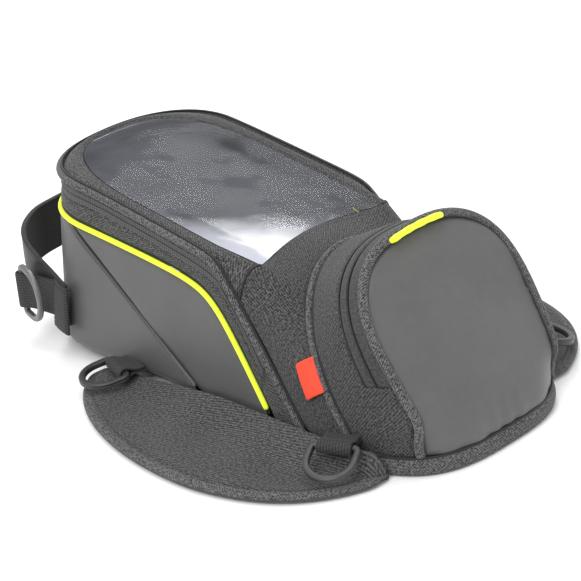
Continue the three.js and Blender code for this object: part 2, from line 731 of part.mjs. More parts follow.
// ---- flaps ----
const FLAP_POWER = 1.8;
const BINDING_R = 2.6;
const FLAP_INSET = BINDING_R + 1.8; // from the middle of the binding to the edge of the pad
function flapOuter(x, inset = 0) {
  const length = (x < FLAP.peakX ? FLAP.rearLength : FLAP.frontLength) - inset;
  const t = clamp(Math.abs(x - FLAP.peakX) / length, 0, 1);
  return (FLAP.reach - inset) * Math.pow(Math.max(0, 1 - t * t), 1 / FLAP_POWER);
}
const flapRoot = (x) => baseHalf(x) + FLAP.rootGap;
function flapRange(u) {
  const swing = Math.cos(Math.PI * (1 - u));
  return FLAP.peakX + ((swing < 0 ? FLAP.rearLength : FLAP.frontLength) - FLAP_END) * swing;
}
function flapRootZ(x) {
  return lerp(FLAP_ROOT_Z.rear, FLAP_ROOT_Z.front, smooth(x, FLAP_ROOT_Z.from, FLAP_ROOT_Z.to));
}
function flapTop(x, v) {
  const lift = Math.max(0, 1 - v / FLAP_RAISED) ** 2;
  return FLAP.outerZ + (flapRootZ(x) - FLAP.outerZ) * lift;
}
function flapPoint(side, u, v, sink) {
  const x = flapRange(u);
  const spread = Math.max(1.5, flapOuter(x, FLAP_INSET));
  return V(x, side * (flapRoot(x) + spread * v), flapTop(x, v) - sink);
}

function flapPiece(name, side, sink, thickness, material) {
  const point = (u, v) => flapPoint(side, side < 0 ? u : 1 - u, 1 - v, sink);
  return sheetNamed(name, point, 22, 4, thickness, material);
}
function sheetNamed(name, point, across, along, thickness, material) {
  return named(name, sheet(point, across, along, thickness, { direction: V(0, 0, 1) }), material);
}

const MAGNET_X = [0, 96];
function magnetPlace(side, x) {
  return V(x, side * (flapRoot(x) + 0.69 * flapOuter(x)), FLAP.outerZ - FLAP.thickness + FLAP_SKIN + GAP);
}
function disc(radius, height, sides) {
  const geometry = new THREE.CylinderGeometry(radius, radius, height, sides);
  geometry.rotateX(Math.PI / 2);
  geometry.translate(0, 0, height / 2);
  return geometry;
}

function flapPad(label, side) {
  const mesh = flapPiece("flap_pad_" + label, side, 0, FLAP.thickness - FLAP_SKIN - GAP, woven());
  let solid = toSolid(mesh.geometry);
  for (const x of MAGNET_X) {
    const place = magnetPlace(side, x);
    const recess = disc(MAGNET.radius + GAP, MAGNET.thickness + 2 * GAP, 16);
    recess.translate(place.x, place.y, place.z - GAP);
    solid = solid.subtract(toSolid(recess));
  }
  mesh.geometry = fromSolid(solid);
  return mesh;
}

function flapSkin(label, side) {
  return flapPiece("flap_skin_" + label, side, FLAP.thickness - FLAP_SKIN, FLAP_SKIN, woven());
}

function flapMagnet(label, side, number) {
  const place = magnetPlace(side, MAGNET_X[number - 1]);
  const geometry = disc(MAGNET.radius, MAGNET.thickness, 16);
  const mesh = named("flap_magnet_" + label + "_" + number, geometry, board());
  mesh.position.copy(place);
  return mesh;
}

function flapBinding(label, side) {
  const points = sampled(34, (t) => {
    const angle = lerp(0.05, Math.PI - 0.05, t);
    const length = Math.cos(angle) > 0 ? FLAP.rearLength : FLAP.frontLength;
    const x = FLAP.peakX - length * Math.cos(angle);
    const reach = FLAP.reach * Math.pow(Math.sin(angle), 2 / FLAP_POWER);
    return V(x, side * (flapRoot(x) + reach), FLAP.outerZ - FLAP.thickness / 2);
  });
  return named("flap_binding_" + label, tube(points, BINDING_R, 30), woven());
}

// A flat D ring: its bar along x through the origin, its bow towards -y, its faces square to z.
function ringGeometry(scale) {
  const half = (RING.width / 2) * scale;
  const depth = RING.depth * scale;
  const bar = RING.bar;
  const outline = new THREE.Shape();
  outline.moveTo(-half, bar / 2);
  outline.lineTo(-half, -depth + half);
  outline.absarc(0, -depth + half, half, Math.PI, 2 * Math.PI, false);
  outline.lineTo(half, bar / 2);
  outline.closePath();
  const hole = new THREE.Path();
  const inner = half - bar;
  hole.moveTo(-inner, -bar / 2);
  hole.lineTo(-inner, -depth + half);
  hole.absarc(0, -depth + half, inner, Math.PI, 2 * Math.PI, false);
  hole.lineTo(inner, -bar / 2);
  hole.closePath();
  outline.holes.push(hole);
  const geometry = new THREE.ExtrudeGeometry(outline, {
    depth: RING.thickness,
    bevelEnabled: false,
    curveSegments: 5,
  });
  geometry.translate(0, 0, -RING.thickness / 2);
  return geometry;
}

// A webbing loop round the ring's bar: two plies that meet at the seam behind it.
function loopGeometry(length, width) {
  const inside = Math.hypot(RING.bar, RING.thickness) / 2 + 2 * GAP;
  const outside = inside + WEBBING.thickness;
  const outline = new THREE.Shape();
  outline.moveTo(length, -WEBBING.thickness);
  outline.lineTo(length, WEBBING.thickness);
  outline.lineTo(outside + 3, WEBBING.thickness);
  outline.lineTo(0, outside);
  outline.absarc(0, 0, outside, Math.PI / 2, 1.5 * Math.PI, false);
  outline.lineTo(outside + 3, -WEBBING.thickness);
  outline.closePath();
  const hole = new THREE.Path();
  hole.absarc(0, 0, inside, 0, 2 * Math.PI, true);
  outline.holes.push(hole);
  const options = { depth: width, bevelEnabled: false, curveSegments: 3 };
  const geometry = new THREE.ExtrudeGeometry(outline, options);
  geometry.translate(0, 0, -width / 2);
  geometry.rotateX(Math.PI / 2);
  geometry.rotateZ(Math.PI / 2);
  return geometry;
}

const FLAP_RINGS = [
  { label: "rear", x: -57, y: 90, z: 14.4, turn: -0.3, tilt: 0.1 },
  { label: "front", x: 137, y: 90.5, z: 21.2, turn: 0.42, tilt: 0.36 },
];

function flapHardware(side, label) {
  const group = new THREE.Group();
  for (const spec of FLAP_RINGS) {
    const set = new THREE.Group();
    const tag = label + "_" + spec.label;
    set.position.set(spec.x, side * spec.y, spec.z);
    set.rotation.z = side < 0 ? spec.turn : Math.PI - spec.turn;
    const ring = named("flap_ring_" + tag, ringGeometry(1), plastic());
    ring.rotation.x = spec.tilt;
    set.add(named("flap_loop_" + tag, loopGeometry(9.5, WEBBING.width - 3), webbing()));
    set.add(ring);
    group.add(set);
  }
  return group;
}

// ---- carry handle ----
function outside(x, z, distance, side) {
  const s = wallAngleS(x, z);
  const place = wall(s, z);
  const out = wall(s + 1e-3, z).sub(wall(s - 1e-3, z));
  place.add(V(out.y, -out.x, 0).normalize().multiplyScalar(-distance));
  return V(place.x, -side * place.y, z);
}

// The wall parameter on the near half of the tall end whose point has this x.
function wallAngleS(x, z) {
  let low = wallS(TAIL_CENTRE_X);
  let high = 0.5;
  for (let i = 0; i < 30; i++) {
    const middle = (low + high) / 2;
    if (wall(middle, z).x > x) low = middle;
    else high = middle;
  }
  return (low + high) / 2;
}

function handlePath(side) {
  return [
    outside(-119, HANDLE.mountZ, 4.2, side),
    outside(-127, HANDLE.mountZ, 4.4, side),
    ...HANDLE_POINTS.map(([x, y, z]) => V(x, side * y, z)),
    V(-188, side * 42, HANDLE.z),
    V(-192.5, side * 18, HANDLE.z),
  ];
}

function handleStrap() {
  const curve = new THREE.CatmullRomCurve3(
    [...handlePath(-1), V(HANDLE.rearX, 0, HANDLE.z), ...handlePath(1).reverse()],
    false,
    "centripetal",
  );
  const point = (u, v) => {
    const place = curve.getPointAt(clamp(u, 0, 1));
    const end = smooth(Math.min(u, 1 - u), 0, 0.14);
    return place.add(V(0, 0, lerp(-0.5, 0.5, v) * lerp(HANDLE.endHeight, HANDLE.height, end)));
  };
  return named("handle_strap", sheet((u, v) => point(1 - u, v), 32, 1, HANDLE.thickness), coated());
}

function handlePatch(label, side) {
  const outer = (u, v) => {
    const x = lerp(PATCH.rear, PATCH.front, u);
    return outside(x, lerp(PATCH.low, PATCH.high, v), PATCH.proud, side);
  };
  const facing = side < 0 ? outer : (u, v) => outer(1 - u, v);
  return named("handle_patch_" + label, sheet(facing, 3, 2, PATCH.thickness), webbing());
}

// The side ring stands upright outside the strap, its bow folded back towards the patch.
const HANDLE_RING = { x: -160, y: 79, z: 38, scale: 1.1, open: 0.3, lean: 0.1, loop: 22 };
function handleHardware(label, side) {
  const set = new THREE.Group();
  const loop = named("handle_loop_" + label, loopGeometry(HANDLE_RING.loop, WEBBING.width), webbing());
  const ring = named("handle_ring_" + label, ringGeometry(HANDLE_RING.scale), steel());
  const up = V(0, 0, 1);
  const toPatch = V(Math.cos(HANDLE_RING.lean), -side * Math.sin(HANDLE_RING.lean), 0);
  const fromBow = V(-Math.cos(HANDLE_RING.open), -side * Math.sin(HANDLE_RING.open), 0);
  for (const [mesh, y] of [[loop, toPatch], [ring, fromBow]]) {
    mesh.quaternion.setFromRotationMatrix(new THREE.Matrix4().makeBasis(up, y, up.clone().cross(y)));
  }
  set.position.set(HANDLE_RING.x, side * HANDLE_RING.y, HANDLE_RING.z);
  set.add(loop, ring);
  return set;
}

// ---- assembly ----
function bagBody() {
  const group = new THREE.Group();
  group.add(basePanel(), baseBoard(), baseRim());
  group.add(lowerShell(), crescentPanel("side_panel_near", -1), crescentPanel("side_panel_far", 1));
  group.add(neonPiping(), lowerBand(), zipTapeLower());
  group.add(bandFront("band_front_near", -1), bandFront("band_front_far", 1));
  group.add(frontPiping("front_piping_near", -1), frontPiping("front_piping_far", 1));
  group.add(frontPanel(), weltPiping(), pocketGusset(), pocketDivider());
  group.add(pocketZipTape("pocket_zip_tape_rear", ZIP_ARC.rear + 0.01, ZIP_ARC.line - 0.004));
  group.add(doorPanelPart("pocket_front_lower", FOLD_Q + 1.5, DOOR.length - 1.5));
  group.add(labelTab());
  return group;
}

function pocketDoor() {
  const group = new THREE.Group();
  const end = 0.155;
  group.add(doorPanelPart("pocket_door_panel", -1, FOLD_Q - 1));
  group.add(doorPipingPart("pocket_door_piping", end, 1 - end, 44));
  group.add(pocketZipTape("pocket_zip_tape_front", ZIP_ARC.line + 0.004, ZIP_ARC.front), pullLoop());
  return group;
}

function lid() {
  const group = new THREE.Group();
  group.add(lidPanel(), lidRim(), zipTapeUpper(), lidPiping());
  group.add(windowFilm(), windowPouch());
  return group;
}

function flap(label, side) {
  const group = new THREE.Group();
  group.add(flapPad(label, side), flapSkin(label, side), flapBinding(label, side));
  group.add(flapMagnet(label, side, 1), flapMagnet(label, side, 2));
  group.add(flapHardware(side, label));
  return group;
}

function handle() {
  const group = new THREE.Group();
  group.add(handleStrap(), handlePatch("near", -1), handlePatch("far", 1));
  group.add(handleHardware("near", -1), handleHardware("far", 1));
  return group;
}

const bag = new THREE.Group();
bag.add(bagBody(), lid(), pocketDoor(), mainSlider(), pocketSlider(), handle());
bag.add(flap("near", -1), flap("far", 1));

export default bag;
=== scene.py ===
import math
import random

import bpy
import numpy as np
from mathutils import Matrix, Vector


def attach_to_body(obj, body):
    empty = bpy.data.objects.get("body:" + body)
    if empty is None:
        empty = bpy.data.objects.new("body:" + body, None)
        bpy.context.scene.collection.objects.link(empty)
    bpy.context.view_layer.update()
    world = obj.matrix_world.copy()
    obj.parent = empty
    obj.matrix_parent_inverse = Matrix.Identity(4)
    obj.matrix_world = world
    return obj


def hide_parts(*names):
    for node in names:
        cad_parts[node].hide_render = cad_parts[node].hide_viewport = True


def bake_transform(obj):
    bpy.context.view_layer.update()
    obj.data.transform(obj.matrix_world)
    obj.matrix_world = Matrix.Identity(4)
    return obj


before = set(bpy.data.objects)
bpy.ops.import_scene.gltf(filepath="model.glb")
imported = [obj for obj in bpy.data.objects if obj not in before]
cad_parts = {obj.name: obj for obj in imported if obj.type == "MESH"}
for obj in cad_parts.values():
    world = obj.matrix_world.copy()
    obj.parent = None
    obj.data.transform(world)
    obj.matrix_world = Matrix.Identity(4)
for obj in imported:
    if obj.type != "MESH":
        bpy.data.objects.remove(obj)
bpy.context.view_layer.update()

MM = 0.001


# ---- the bag's own dimensions, in millimetres ----
STRAIGHT = 0.34
WALL_FRONT_X, TAIL_X = 100.0, -100.0
PIPING_R = 1.9
LID_PIPING_R = 2.3
ZIP_TAPE = 3.4
ZIP_END_X = 62.0
WINDOW_TAIL, WINDOW_FRONT, WINDOW_HALF = -147.0, 27.0, 55.0
FILM_ARCH_X, FILM_CORNER_X = 36.0, 48.0
CUT_X = 41.0
SIDE_COUNT, TAIL_COUNT, ARCH_COUNT = 34, 76, 16  # points along the film's edge
OUTER_COUNT = 900
WELT_HALF, WELT_SPRING, WELT_RISE, WELT_LEAN, WELT_X0 = 74.0, 15.0, 83.0, 0.86, 147.9
DOOR_APEX = np.array([124.4, 0.0, 126.6])
DOOR_LEAN, DOOR_HALF, DOOR_CROWN, DOOR_POWER = 0.605, 65.0, 62.0, 2.6
DOOR_LENGTH, DOOR_TAPER, FOLD_Q = 130.0, 6.0, 92.0
ZIP_REAR, ZIP_LINE, ZIP_FRONT, ZIP_END = 0.59, 0.74, 0.90, 0.13
BASE_CENTRE_X, BASE_DEPTH, BASE_HALF, BASE_POWER = 110.0, 82.5, 76.0, 3.0
RIM_HEIGHT = 11.5
FOOT_DROP = 4.6  # the arches' feet reach down behind the rim
FLAP_PEAK_X, FLAP_REAR, FLAP_FRONT, FLAP_REACH = 60.0, 140.0, 103.0, 70.0
FLAP_POWER, FLAP_THICK, FLAP_ROOT_GAP, FLAP_OUTER_Z = 1.8, 6.0, 5.5, 6.6
HINGE = np.array([50.0, 0.0, 98.0])
FOLD_DIR = np.array([-0.76, 0.0, 0.65])
RING_WIDTH, RING_DEPTH = 34, 27
FLAP_RINGS = [
    {"label": "rear", "x": -57, "y": 90, "z": 14.4, "turn": -0.3, "tilt": 0.1},
    {"label": "front", "x": 137, "y": 90.5, "z": 21.2, "turn": 0.42, "tilt": 0.36},
]


# ---- small maths on arrays ----
def lerp(a, b, t):
    return a + (b - a) * t


def smooth(x, low, high):
    t = np.clip((np.asarray(x, float) - low) / (high - low), 0, 1)
    return t * t * (3 - 2 * t)


def soft_min(a, b, k):
    return (a + b) / 2 - np.sqrt(((a - b) / 2) ** 2 + k * k)


def signed_power(value, power):
    return np.sign(value) * np.abs(value) ** power


def xyz(x, y, z):
    return np.stack(np.broadcast_arrays(x, y, z), axis=-1).astype(float)


def unit(vectors):
    return vectors / np.maximum(np.linalg.norm(vectors, axis=-1, keepdims=True), 1e-9)


class Line:
    """A polyline read by its share of length, from 0 to 1."""

    def __init__(self, points, drop=0.0):
        self.points = np.asarray(points, float)
        self.drop = drop
        steps = np.linalg.norm(np.diff(self.points, axis=0), axis=1)
        self.length = steps.sum()
        self.at = np.concatenate([[0], np.cumsum(steps)]) / self.length

    def __call__(self, u):
        u = np.clip(u, 0, 1)
        place = np.stack([np.interp(u, self.at, self.points[:, k]) for k in range(3)], axis=-1)
        if self.drop:
            place[..., 2] -= self.drop * (1 - smooth(np.minimum(u, 1 - u), 0, 0.035))
        return place


def spline(points, count):
    """A smooth curve through a few points (centripetal Catmull-Rom)."""
    p = np.asarray(points, float)
    p = np.vstack([2 * p[0] - p[1], p, 2 * p[-1] - p[-2]])
    knots = np.concatenate([[0], np.cumsum(np.sqrt(np.linalg.norm(np.diff(p, axis=0), axis=1)))])
    t = np.linspace(knots[1], knots[-2], count)
    i = np.clip(np.searchsorted(knots, t, side="right") - 1, 1, len(p) - 3)
    t0, t1, t2, t3 = (knots[i + k] for k in (-1, 0, 1, 2))
    p0, p1, p2, p3 = (p[i + k] for k in (-1, 0, 1, 2))

    def mix(a, b, ta, tb):
        w = ((t - ta) / (tb - ta))[:, None]
        return a * (1 - w) + b * w

    a1, a2, a3 = mix(p0, p1, t0, t1), mix(p1, p2, t1, t2), mix(p2, p3, t2, t3)
    b1, b2 = mix(a1, a2, t0, t2), mix(a2, a3, t1, t3)
    return mix(b1, b2, t1, t2)


# ---- seam lines and walls ----
def lid_plane(x):
    return soft_min(106.96 - 0.153 * x, 127.3, 1.5)


def seam_z(x):
    return soft_min(soft_min(106.5 - 0.153 * x, 127.6 - 1.2 * x, 3), 122.5, 1.5)


def zip_z(x):
    return soft_min(soft_min(98.6 - 0.1575 * x, 136.6 - 1.5 * x, 8), 113.5, 1.5)


def neon_z(x):
    return soft_min(soft_min(87.6 - 0.0773 * x, 111.6 - 1.4 * x, 11), 97, 1)


def crescent_z(x):
    return 16 - 0.66 * x


def foot_z(x):
    return 3 + 6 * smooth(-x, 60, 158)


def beside(line, distance):
    return lambda x: line(x) + distance * np.hypot(1, line(x + 0.5) - line(x - 0.5))


def wall(s, z):
    h = np.clip((z - 8) / 112, 0, 1.05)
    under = np.maximum(0, 14 - z) ** 2 / 11
    half = lerp(78, 66, h) - under
    depth = lerp(58, 55, h) - under
    power = lerp(2.6, 2.3, h)
    angle = np.pi * np.clip((s - STRAIGHT) / (1 - 2 * STRAIGHT), 0, 1)
    tail_x = TAIL_X - depth * np.sin(angle) ** (2 / power)
    tail_y = -half * signed_power(np.cos(angle), 2 / power)
    near_x = lerp(WALL_FRONT_X, TAIL_X, s / STRAIGHT)
    far_x = lerp(TAIL_X, WALL_FRONT_X, (s - 1 + STRAIGHT) / STRAIGHT)
    x = np.where(s < STRAIGHT, near_x, np.where(s > 1 - STRAIGHT, far_x, tail_x))
    y = np.where(s < STRAIGHT, -half, np.where(s > 1 - STRAIGHT, half, tail_y))
    return xyz(x, y, z)


def wall_s(x):
    return STRAIGHT * (WALL_FRONT_X - x) / (WALL_FRONT_X - TAIL_X)


def wall_x(s):
    return wall(s, np.full(np.shape(s), 60.0))[..., 0]


def wall_run(x):
    """The wall parameters from x on the near side to x on the far side."""
    return wall_s(x), 1 - wall_s(x)


def even_s(start, end, count):
    """Wall parameters evenly spaced along the wall."""
    fine = np.linspace(start, end, 1200)
    track = Line(wall(fine, np.full(fine.shape, 70.0)))
    return np.interp(np.linspace(0, 1, count), track.at, fine)


def wall_line(s, line_z, proud):
    z = line_z(wall_x(s))
    here = wall(s, z)
    tangent = unit(wall(s + 1e-3, z) - wall(s - 1e-3, z))
    out = xyz(-tangent[:, 1], tangent[:, 0], np.zeros(len(s)))
    return here + proud * out, out


# ---- arches of the front ----
def welt_point(angle):
    z = WELT_SPRING + WELT_RISE * np.sin(angle)
    return xyz(WELT_X0 - WELT_LEAN * z, -WELT_HALF * np.cos(angle), z)


DOOR_DOWN = unit(np.array([DOOR_LEAN, 0, -1.0]))
DOOR_OUT = unit(np.array([1.0, 0, DOOR_LEAN]))


def door_half(q):
    lower = np.maximum(0, (q - DOOR_CROWN) / (DOOR_LENGTH - DOOR_CROWN))
    return DOOR_HALF - DOOR_TAPER * lower**1.3


def door_tuck(q, y):
    """Below the fold the sides draw back until the foot follows the curved rim of the base."""
    foot_x = DOOR_APEX[0] + DOOR_DOWN[0] * DOOR_LENGTH
    rim = (1 - np.abs(y / BASE_HALF) ** BASE_POWER) ** (1 / BASE_POWER)
    behind = np.maximum(0, foot_x - BASE_CENTRE_X - BASE_DEPTH * rim)
    return behind * smooth(q, FOLD_Q, DOOR_LENGTH) ** 2


def door_plane(q, y, out=0.0):
    q, y, out = np.broadcast_arrays(q, y, out)
    flat = DOOR_APEX + q[..., None] * DOOR_DOWN + out[..., None] * DOOR_OUT
    flat[..., 0] -= door_tuck(q, y)
    flat[..., 1] = y
    return flat


def door_edge_line():
    legs = np.linspace(DOOR_LENGTH, DOOR_CROWN, 60)
    near = door_plane(legs, -door_half(legs))
    angle = np.linspace(0, np.pi, 241)[1:-1]
    rise = np.sin(angle) ** (2 / DOOR_POWER)
    arch = door_plane(DOOR_CROWN * (1 - rise), -DOOR_HALF * signed_power(np.cos(angle), 2 / DOOR_POWER))
    far = near[::-1] * [1, -1, 1]
    return Line(np.vstack([near, arch, far]), FOOT_DROP)


WELT = Line(welt_point(np.linspace(0, np.pi, 241)), FOOT_DROP)
DOOR_EDGE = door_edge_line()


def gusset_point(u, v, swell=3.0):
    a, b = WELT(u), DOOR_EDGE(u)
    middle = lerp(a, b, v[..., None])
    outward = middle - [0, 0, 40]
    outward[..., 0] = 0
    return middle + unit(outward) * (swell * np.sin(np.pi * v))[..., None]


# ---- lid outline and window ----
def lid_top(x, y):
    tail = np.maximum(0, (TAIL_X - x) / 55)
    edge = np.minimum(1, (tail**2.3 + (np.abs(y) / 66) ** 2.3) ** (1 / 2.3))
    return lerp(lid_plane(x), seam_z(np.minimum(x, 12)) + 2, edge**7)


def window_loop():
    """The film's edge from the far front corner round the tail to the near one, and its front arch."""
    centre, reach = (WINDOW_TAIL + WINDOW_FRONT) / 2, (WINDOW_FRONT - WINDOW_TAIL) / 2
    side_x = np.linspace(FILM_CORNER_X, centre, SIDE_COUNT)
    side_y = WINDOW_HALF - 1.5 * smooth(side_x, 0, FILM_CORNER_X)
    angle = np.linspace(np.pi / 2, 1.5 * np.pi, 400)
    loop = xyz(
        centre + reach * signed_power(np.cos(angle), 2 / 2.4),
        WINDOW_HALF * signed_power(np.sin(angle), 2 / 2.4),
        np.zeros(400),
    )
    tail = Line(loop)(np.linspace(0, 1, TAIL_COUNT))[1:-1]
    far = xyz(side_x, side_y, np.zeros(SIDE_COUNT))
    near = far[::-1] * [1, -1, 1]
    back = np.vstack([far, tail, near])
    y = np.linspace(-side_y[0], side_y[0], 2 * ARCH_COUNT + 1)[1:-1]
    arch = xyz(lerp(FILM_ARCH_X, FILM_CORNER_X, (np.abs(y) / side_y[0]) ** 1.8), y, np.zeros(len(y)))
    return back, arch


def on_lid(points, lift=0.0):
    made = points.copy()
    made[:, 2] = lid_top(points[:, 0], points[:, 1]) + lift
    return made


# ---- meshes ----
def new_object(name, vertices, faces, coordinates, materials):
    mesh = bpy.data.meshes.new(name)
    mesh.from_pydata((np.asarray(vertices) * MM).tolist(), [], [list(f) for f in faces])
    layer = mesh.attributes.new("cloth", "FLOAT_VECTOR", "POINT")
    layer.data.foreach_set("vector", np.asarray(coordinates, np.float32).ravel())
    for material in materials:
        mesh.materials.append(material)
    mesh.polygons.foreach_set("use_smooth", np.ones(len(mesh.polygons), bool))
    mesh.update()
    piece = bpy.data.objects.new(name, mesh)
    bpy.context.scene.collection.objects.link(piece)
    return piece


def attach(piece, place):
    """place is one body, or (body, body, start, end) for cloth that lies across the fold between two; such
    cloth is only baked in place and joined to neither.
    """
    if isinstance(place, str):
        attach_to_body(piece, place)
    else:
        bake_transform(piece)


LID_FOLD = ("bag", "lid", tuple((HINGE - 10 * FOLD_DIR) * MM), tuple((HINGE + 14 * FOLD_DIR) * MM))
FOLD_POINT = DOOR_APEX + FOLD_Q * DOOR_DOWN
DOOR_FOLD = (
    "bag",
    "pocket_door",
    tuple((FOLD_POINT + 10 * DOOR_DOWN) * MM),
    tuple((FOLD_POINT - 10 * DOOR_DOWN) * MM),
)


def refine(piece, level=1):
    if level:
        fine = piece.modifiers.new("fine", "SUBSURF")
        fine.levels = fine.render_levels = level
    return piece


def quads(index, flip=False):
    """The faces between the neighbours in a grid of point numbers."""
    a, b, c, d = index[:-1, :-1], index[1:, :-1], index[1:, 1:], index[:-1, 1:]
    order = (a, d, c, b) if flip else (a, b, c, d)
    return np.stack([k.ravel() for k in order], axis=1)


class Cloth:
    """A grid of points that faces away from the bag's middle. Its low edge is v = 0, its high edge v = 1."""

    def __init__(self, points):
        self.points = points
        self.turn = 1.0
        middle = points.mean(axis=(0, 1)) * [1, 0, 1]
        middle[2] = min(middle[2], 40.0)
        if ((points - middle) * self.normals()).sum() < 0:
            self.turn = -1.0

    def normals(self):
        du = np.gradient(self.points, axis=0)
        dv = np.gradient(self.points, axis=1)
        return unit(np.cross(du, dv)) * self.turn

    def lengths(self, axis):
        steps = np.linalg.norm(np.diff(self.points, axis=axis), axis=2)
        pad = [(0, 0), (0, 0)]
        pad[axis] = (1, 0)
        return np.pad(np.cumsum(steps, axis=axis), pad)

    def push(self, distance):
        self.points = self.points + self.normals() * distance[..., None]
        return self

    def face(self, i, j, direction):
        """Turns the cloth over if its normal at a grid point is against the direction."""
        if self.normals()[i, j] @ np.asarray(direction) < 0:
            self.turn *= -1
        return self

    def roll(self, depth=1.3, reach=2.0, edges="lh"):
        """Turns the chosen edges down into their seams: l and h along v, s and e along u."""
        v, u = self.lengths(1), self.lengths(0)
        sink = np.zeros(self.points.shape[:2])
        for key, away in (("l", v), ("h", v[:, -1:] - v), ("s", u), ("e", u[-1:] - u)):
            if key in edges:
                sink = np.maximum(sink, depth * np.exp(-((away / reach) ** 2)))
        return self.push(-sink)

    def ripple(self, amplitude, wavelength, seed):
        """Soft waves of the cloth, the same on every run."""
        draw = random.Random(seed)
        wave = np.zeros(self.points.shape[:2])
        for _ in range(7):
            direction = unit(np.array([draw.gauss(0, 1) for _ in range(3)]))
            scale = 2 * math.pi / (wavelength * draw.uniform(0.7, 1.8))
            wave += np.sin(self.points @ direction * scale + draw.uniform(0, 6.3))
        return self.push(amplitude * wave / 3)

    def path(self, distance, edge="low"):
        """The points and normals at a distance in from an edge."""
        v = self.lengths(1)
        normals = self.normals()
        found, out = [], []
        for i in range(len(v)):
            target = distance if edge == "low" else v[i, -1] - distance
            found.append([np.interp(target, v[i], self.points[i, :, k]) for k in range(3)])
            out.append([np.interp(target, v[i], normals[i, :, k]) for k in range(3)])
        return np.array(found), unit(np.array(out))

    def mesh(self, name, materials, thickness=1.6, level=1, closed=False):
        nu, nv = self.points.shape[:2]
        vertices = self.points.reshape(-1, 3)
        index = np.arange(nu * nv).reshape(nu, nv)
        if closed:
            index = np.vstack([index, index[:1]])
        faces = quads(index, self.turn < 0)
        u = self.lengths(0)[:, nv // 2]
        v = self.lengths(1).mean(axis=0)
        grid = np.stack(np.meshgrid(u, v, indexing="ij") + [np.zeros((nu, nv))], axis=-1)
        piece = new_object(name, vertices, faces, grid.reshape(-1, 3), materials)
        if thickness:
            solid = piece.modifiers.new("thickness", "SOLIDIFY")
            solid.thickness = thickness * MM
            solid.offset = -1
            if len(materials) > 1:
                solid.material_offset = 1
        return refine(piece, level)


def rows(count, crowd=0.85):
    """Places from 0 to 1 that crowd towards both ends, where a seam needs them."""
    t = np.linspace(0, 1, count)
    return lerp(t, 0.5 - 0.5 * np.cos(np.pi * t), crowd)


def cord_mesh(name, points, out, half_width, half_height, materials, sides=12, level=1, power=2.0):
    """A flattened round cord along a path: half_width lies in the surface, half_height stands out of it."""
    points = np.asarray(points, float)
    tangent = unit(np.gradient(points, axis=0))
    out = unit(out - (out * tangent).sum(-1, keepdims=True) * tangent)
    side = np.cross(tangent, out)
    angle = np.linspace(0, 2 * np.pi, sides, endpoint=False)
    w, h = np.broadcast_to(half_width, len(points)), np.broadcast_to(half_height, len(points))
    across = signed_power(np.cos(angle), 2 / power)
    up = signed_power(np.sin(angle), 2 / power)
    ring = (
        points[:, None]
        + side[:, None] * (w[:, None] * across)[..., None]
        + out[:, None] * (h[:, None] * up)[..., None]
    )
    n = len(points)
    index = np.arange(n * sides).reshape(n, sides)
    nxt = np.roll(index, -1, axis=1)
    faces = np.stack([k.ravel() for k in (index[:-1], nxt[:-1], nxt[1:], index[1:])], axis=1).tolist()
    faces.append(index[0].tolist()[::-1])
    faces.append(index[-1].tolist())
    length = Line(points).at * Line(points).length
    girth = angle * float(np.mean(w) + np.mean(h)) / 2
    grid = np.stack(np.meshgrid(length, girth, indexing="ij") + [np.zeros((n, sides))], axis=-1)
    piece = new_object(name, ring.reshape(-1, 3), faces, grid.reshape(-1, 3), materials)
    return refine(piece, level)


def stitch_mesh(name, runs, material, pitch=3.0, length=2.1, radius=0.3):
    """Rows of sewn stitches, one small pillow each. runs is a list of (points, normals)."""
    sides, rings = 6, ((-0.5, 0.35, -0.45), (-0.3, 0.95, 0.05), (0.3, 0.95, 0.05), (0.5, 0.35, -0.45))
    vertices, faces, coordinates = [], [], []
    angle = np.linspace(0, 2 * np.pi, sides, endpoint=False)
    for points, out in runs:
        track, lean = Line(points), Line(points)
        lean.points = np.asarray(out, float)
        count = max(1, int(track.length / pitch))
        for k in range(count):
            u = (k + 0.5) / count
            here, up = track(u), unit(lean(u))
            along = unit(track(min(1, u + 1e-3)) - track(max(0, u - 1e-3)))
            side = np.cross(along, up)
            first = len(vertices)
            for shift, swell, sink in rings:
                centre = here + along * shift * length + up * sink * radius
                for a in angle:
                    offset = side * math.cos(a) * radius * swell + up * math.sin(a) * radius * swell
                    vertices.append(centre + offset)
                    coordinates.append((track.length * u + shift * length, a, 0))
            for r in range(len(rings) - 1):
                for i in range(sides):
                    j = (i + 1) % sides
                    base = first + r * sides
                    faces.append((base + i, base + j, base + sides + j, base + sides + i))
            faces.append(tuple(first + i for i in range(sides))[::-1])
            faces.append(tuple(first + (len(rings) - 1) * sides + i for i in range(sides)))
    return new_object(name, vertices, faces, coordinates, [material])


def part_of(path, start, end):
    """The stretch of a (points, normals) path between two shares of its count."""
    points, out = path
    a, b = int(round(start * (len(points) - 1))), int(round(end * (len(points) - 1))) + 1
    return points[a:b], out[a:b]


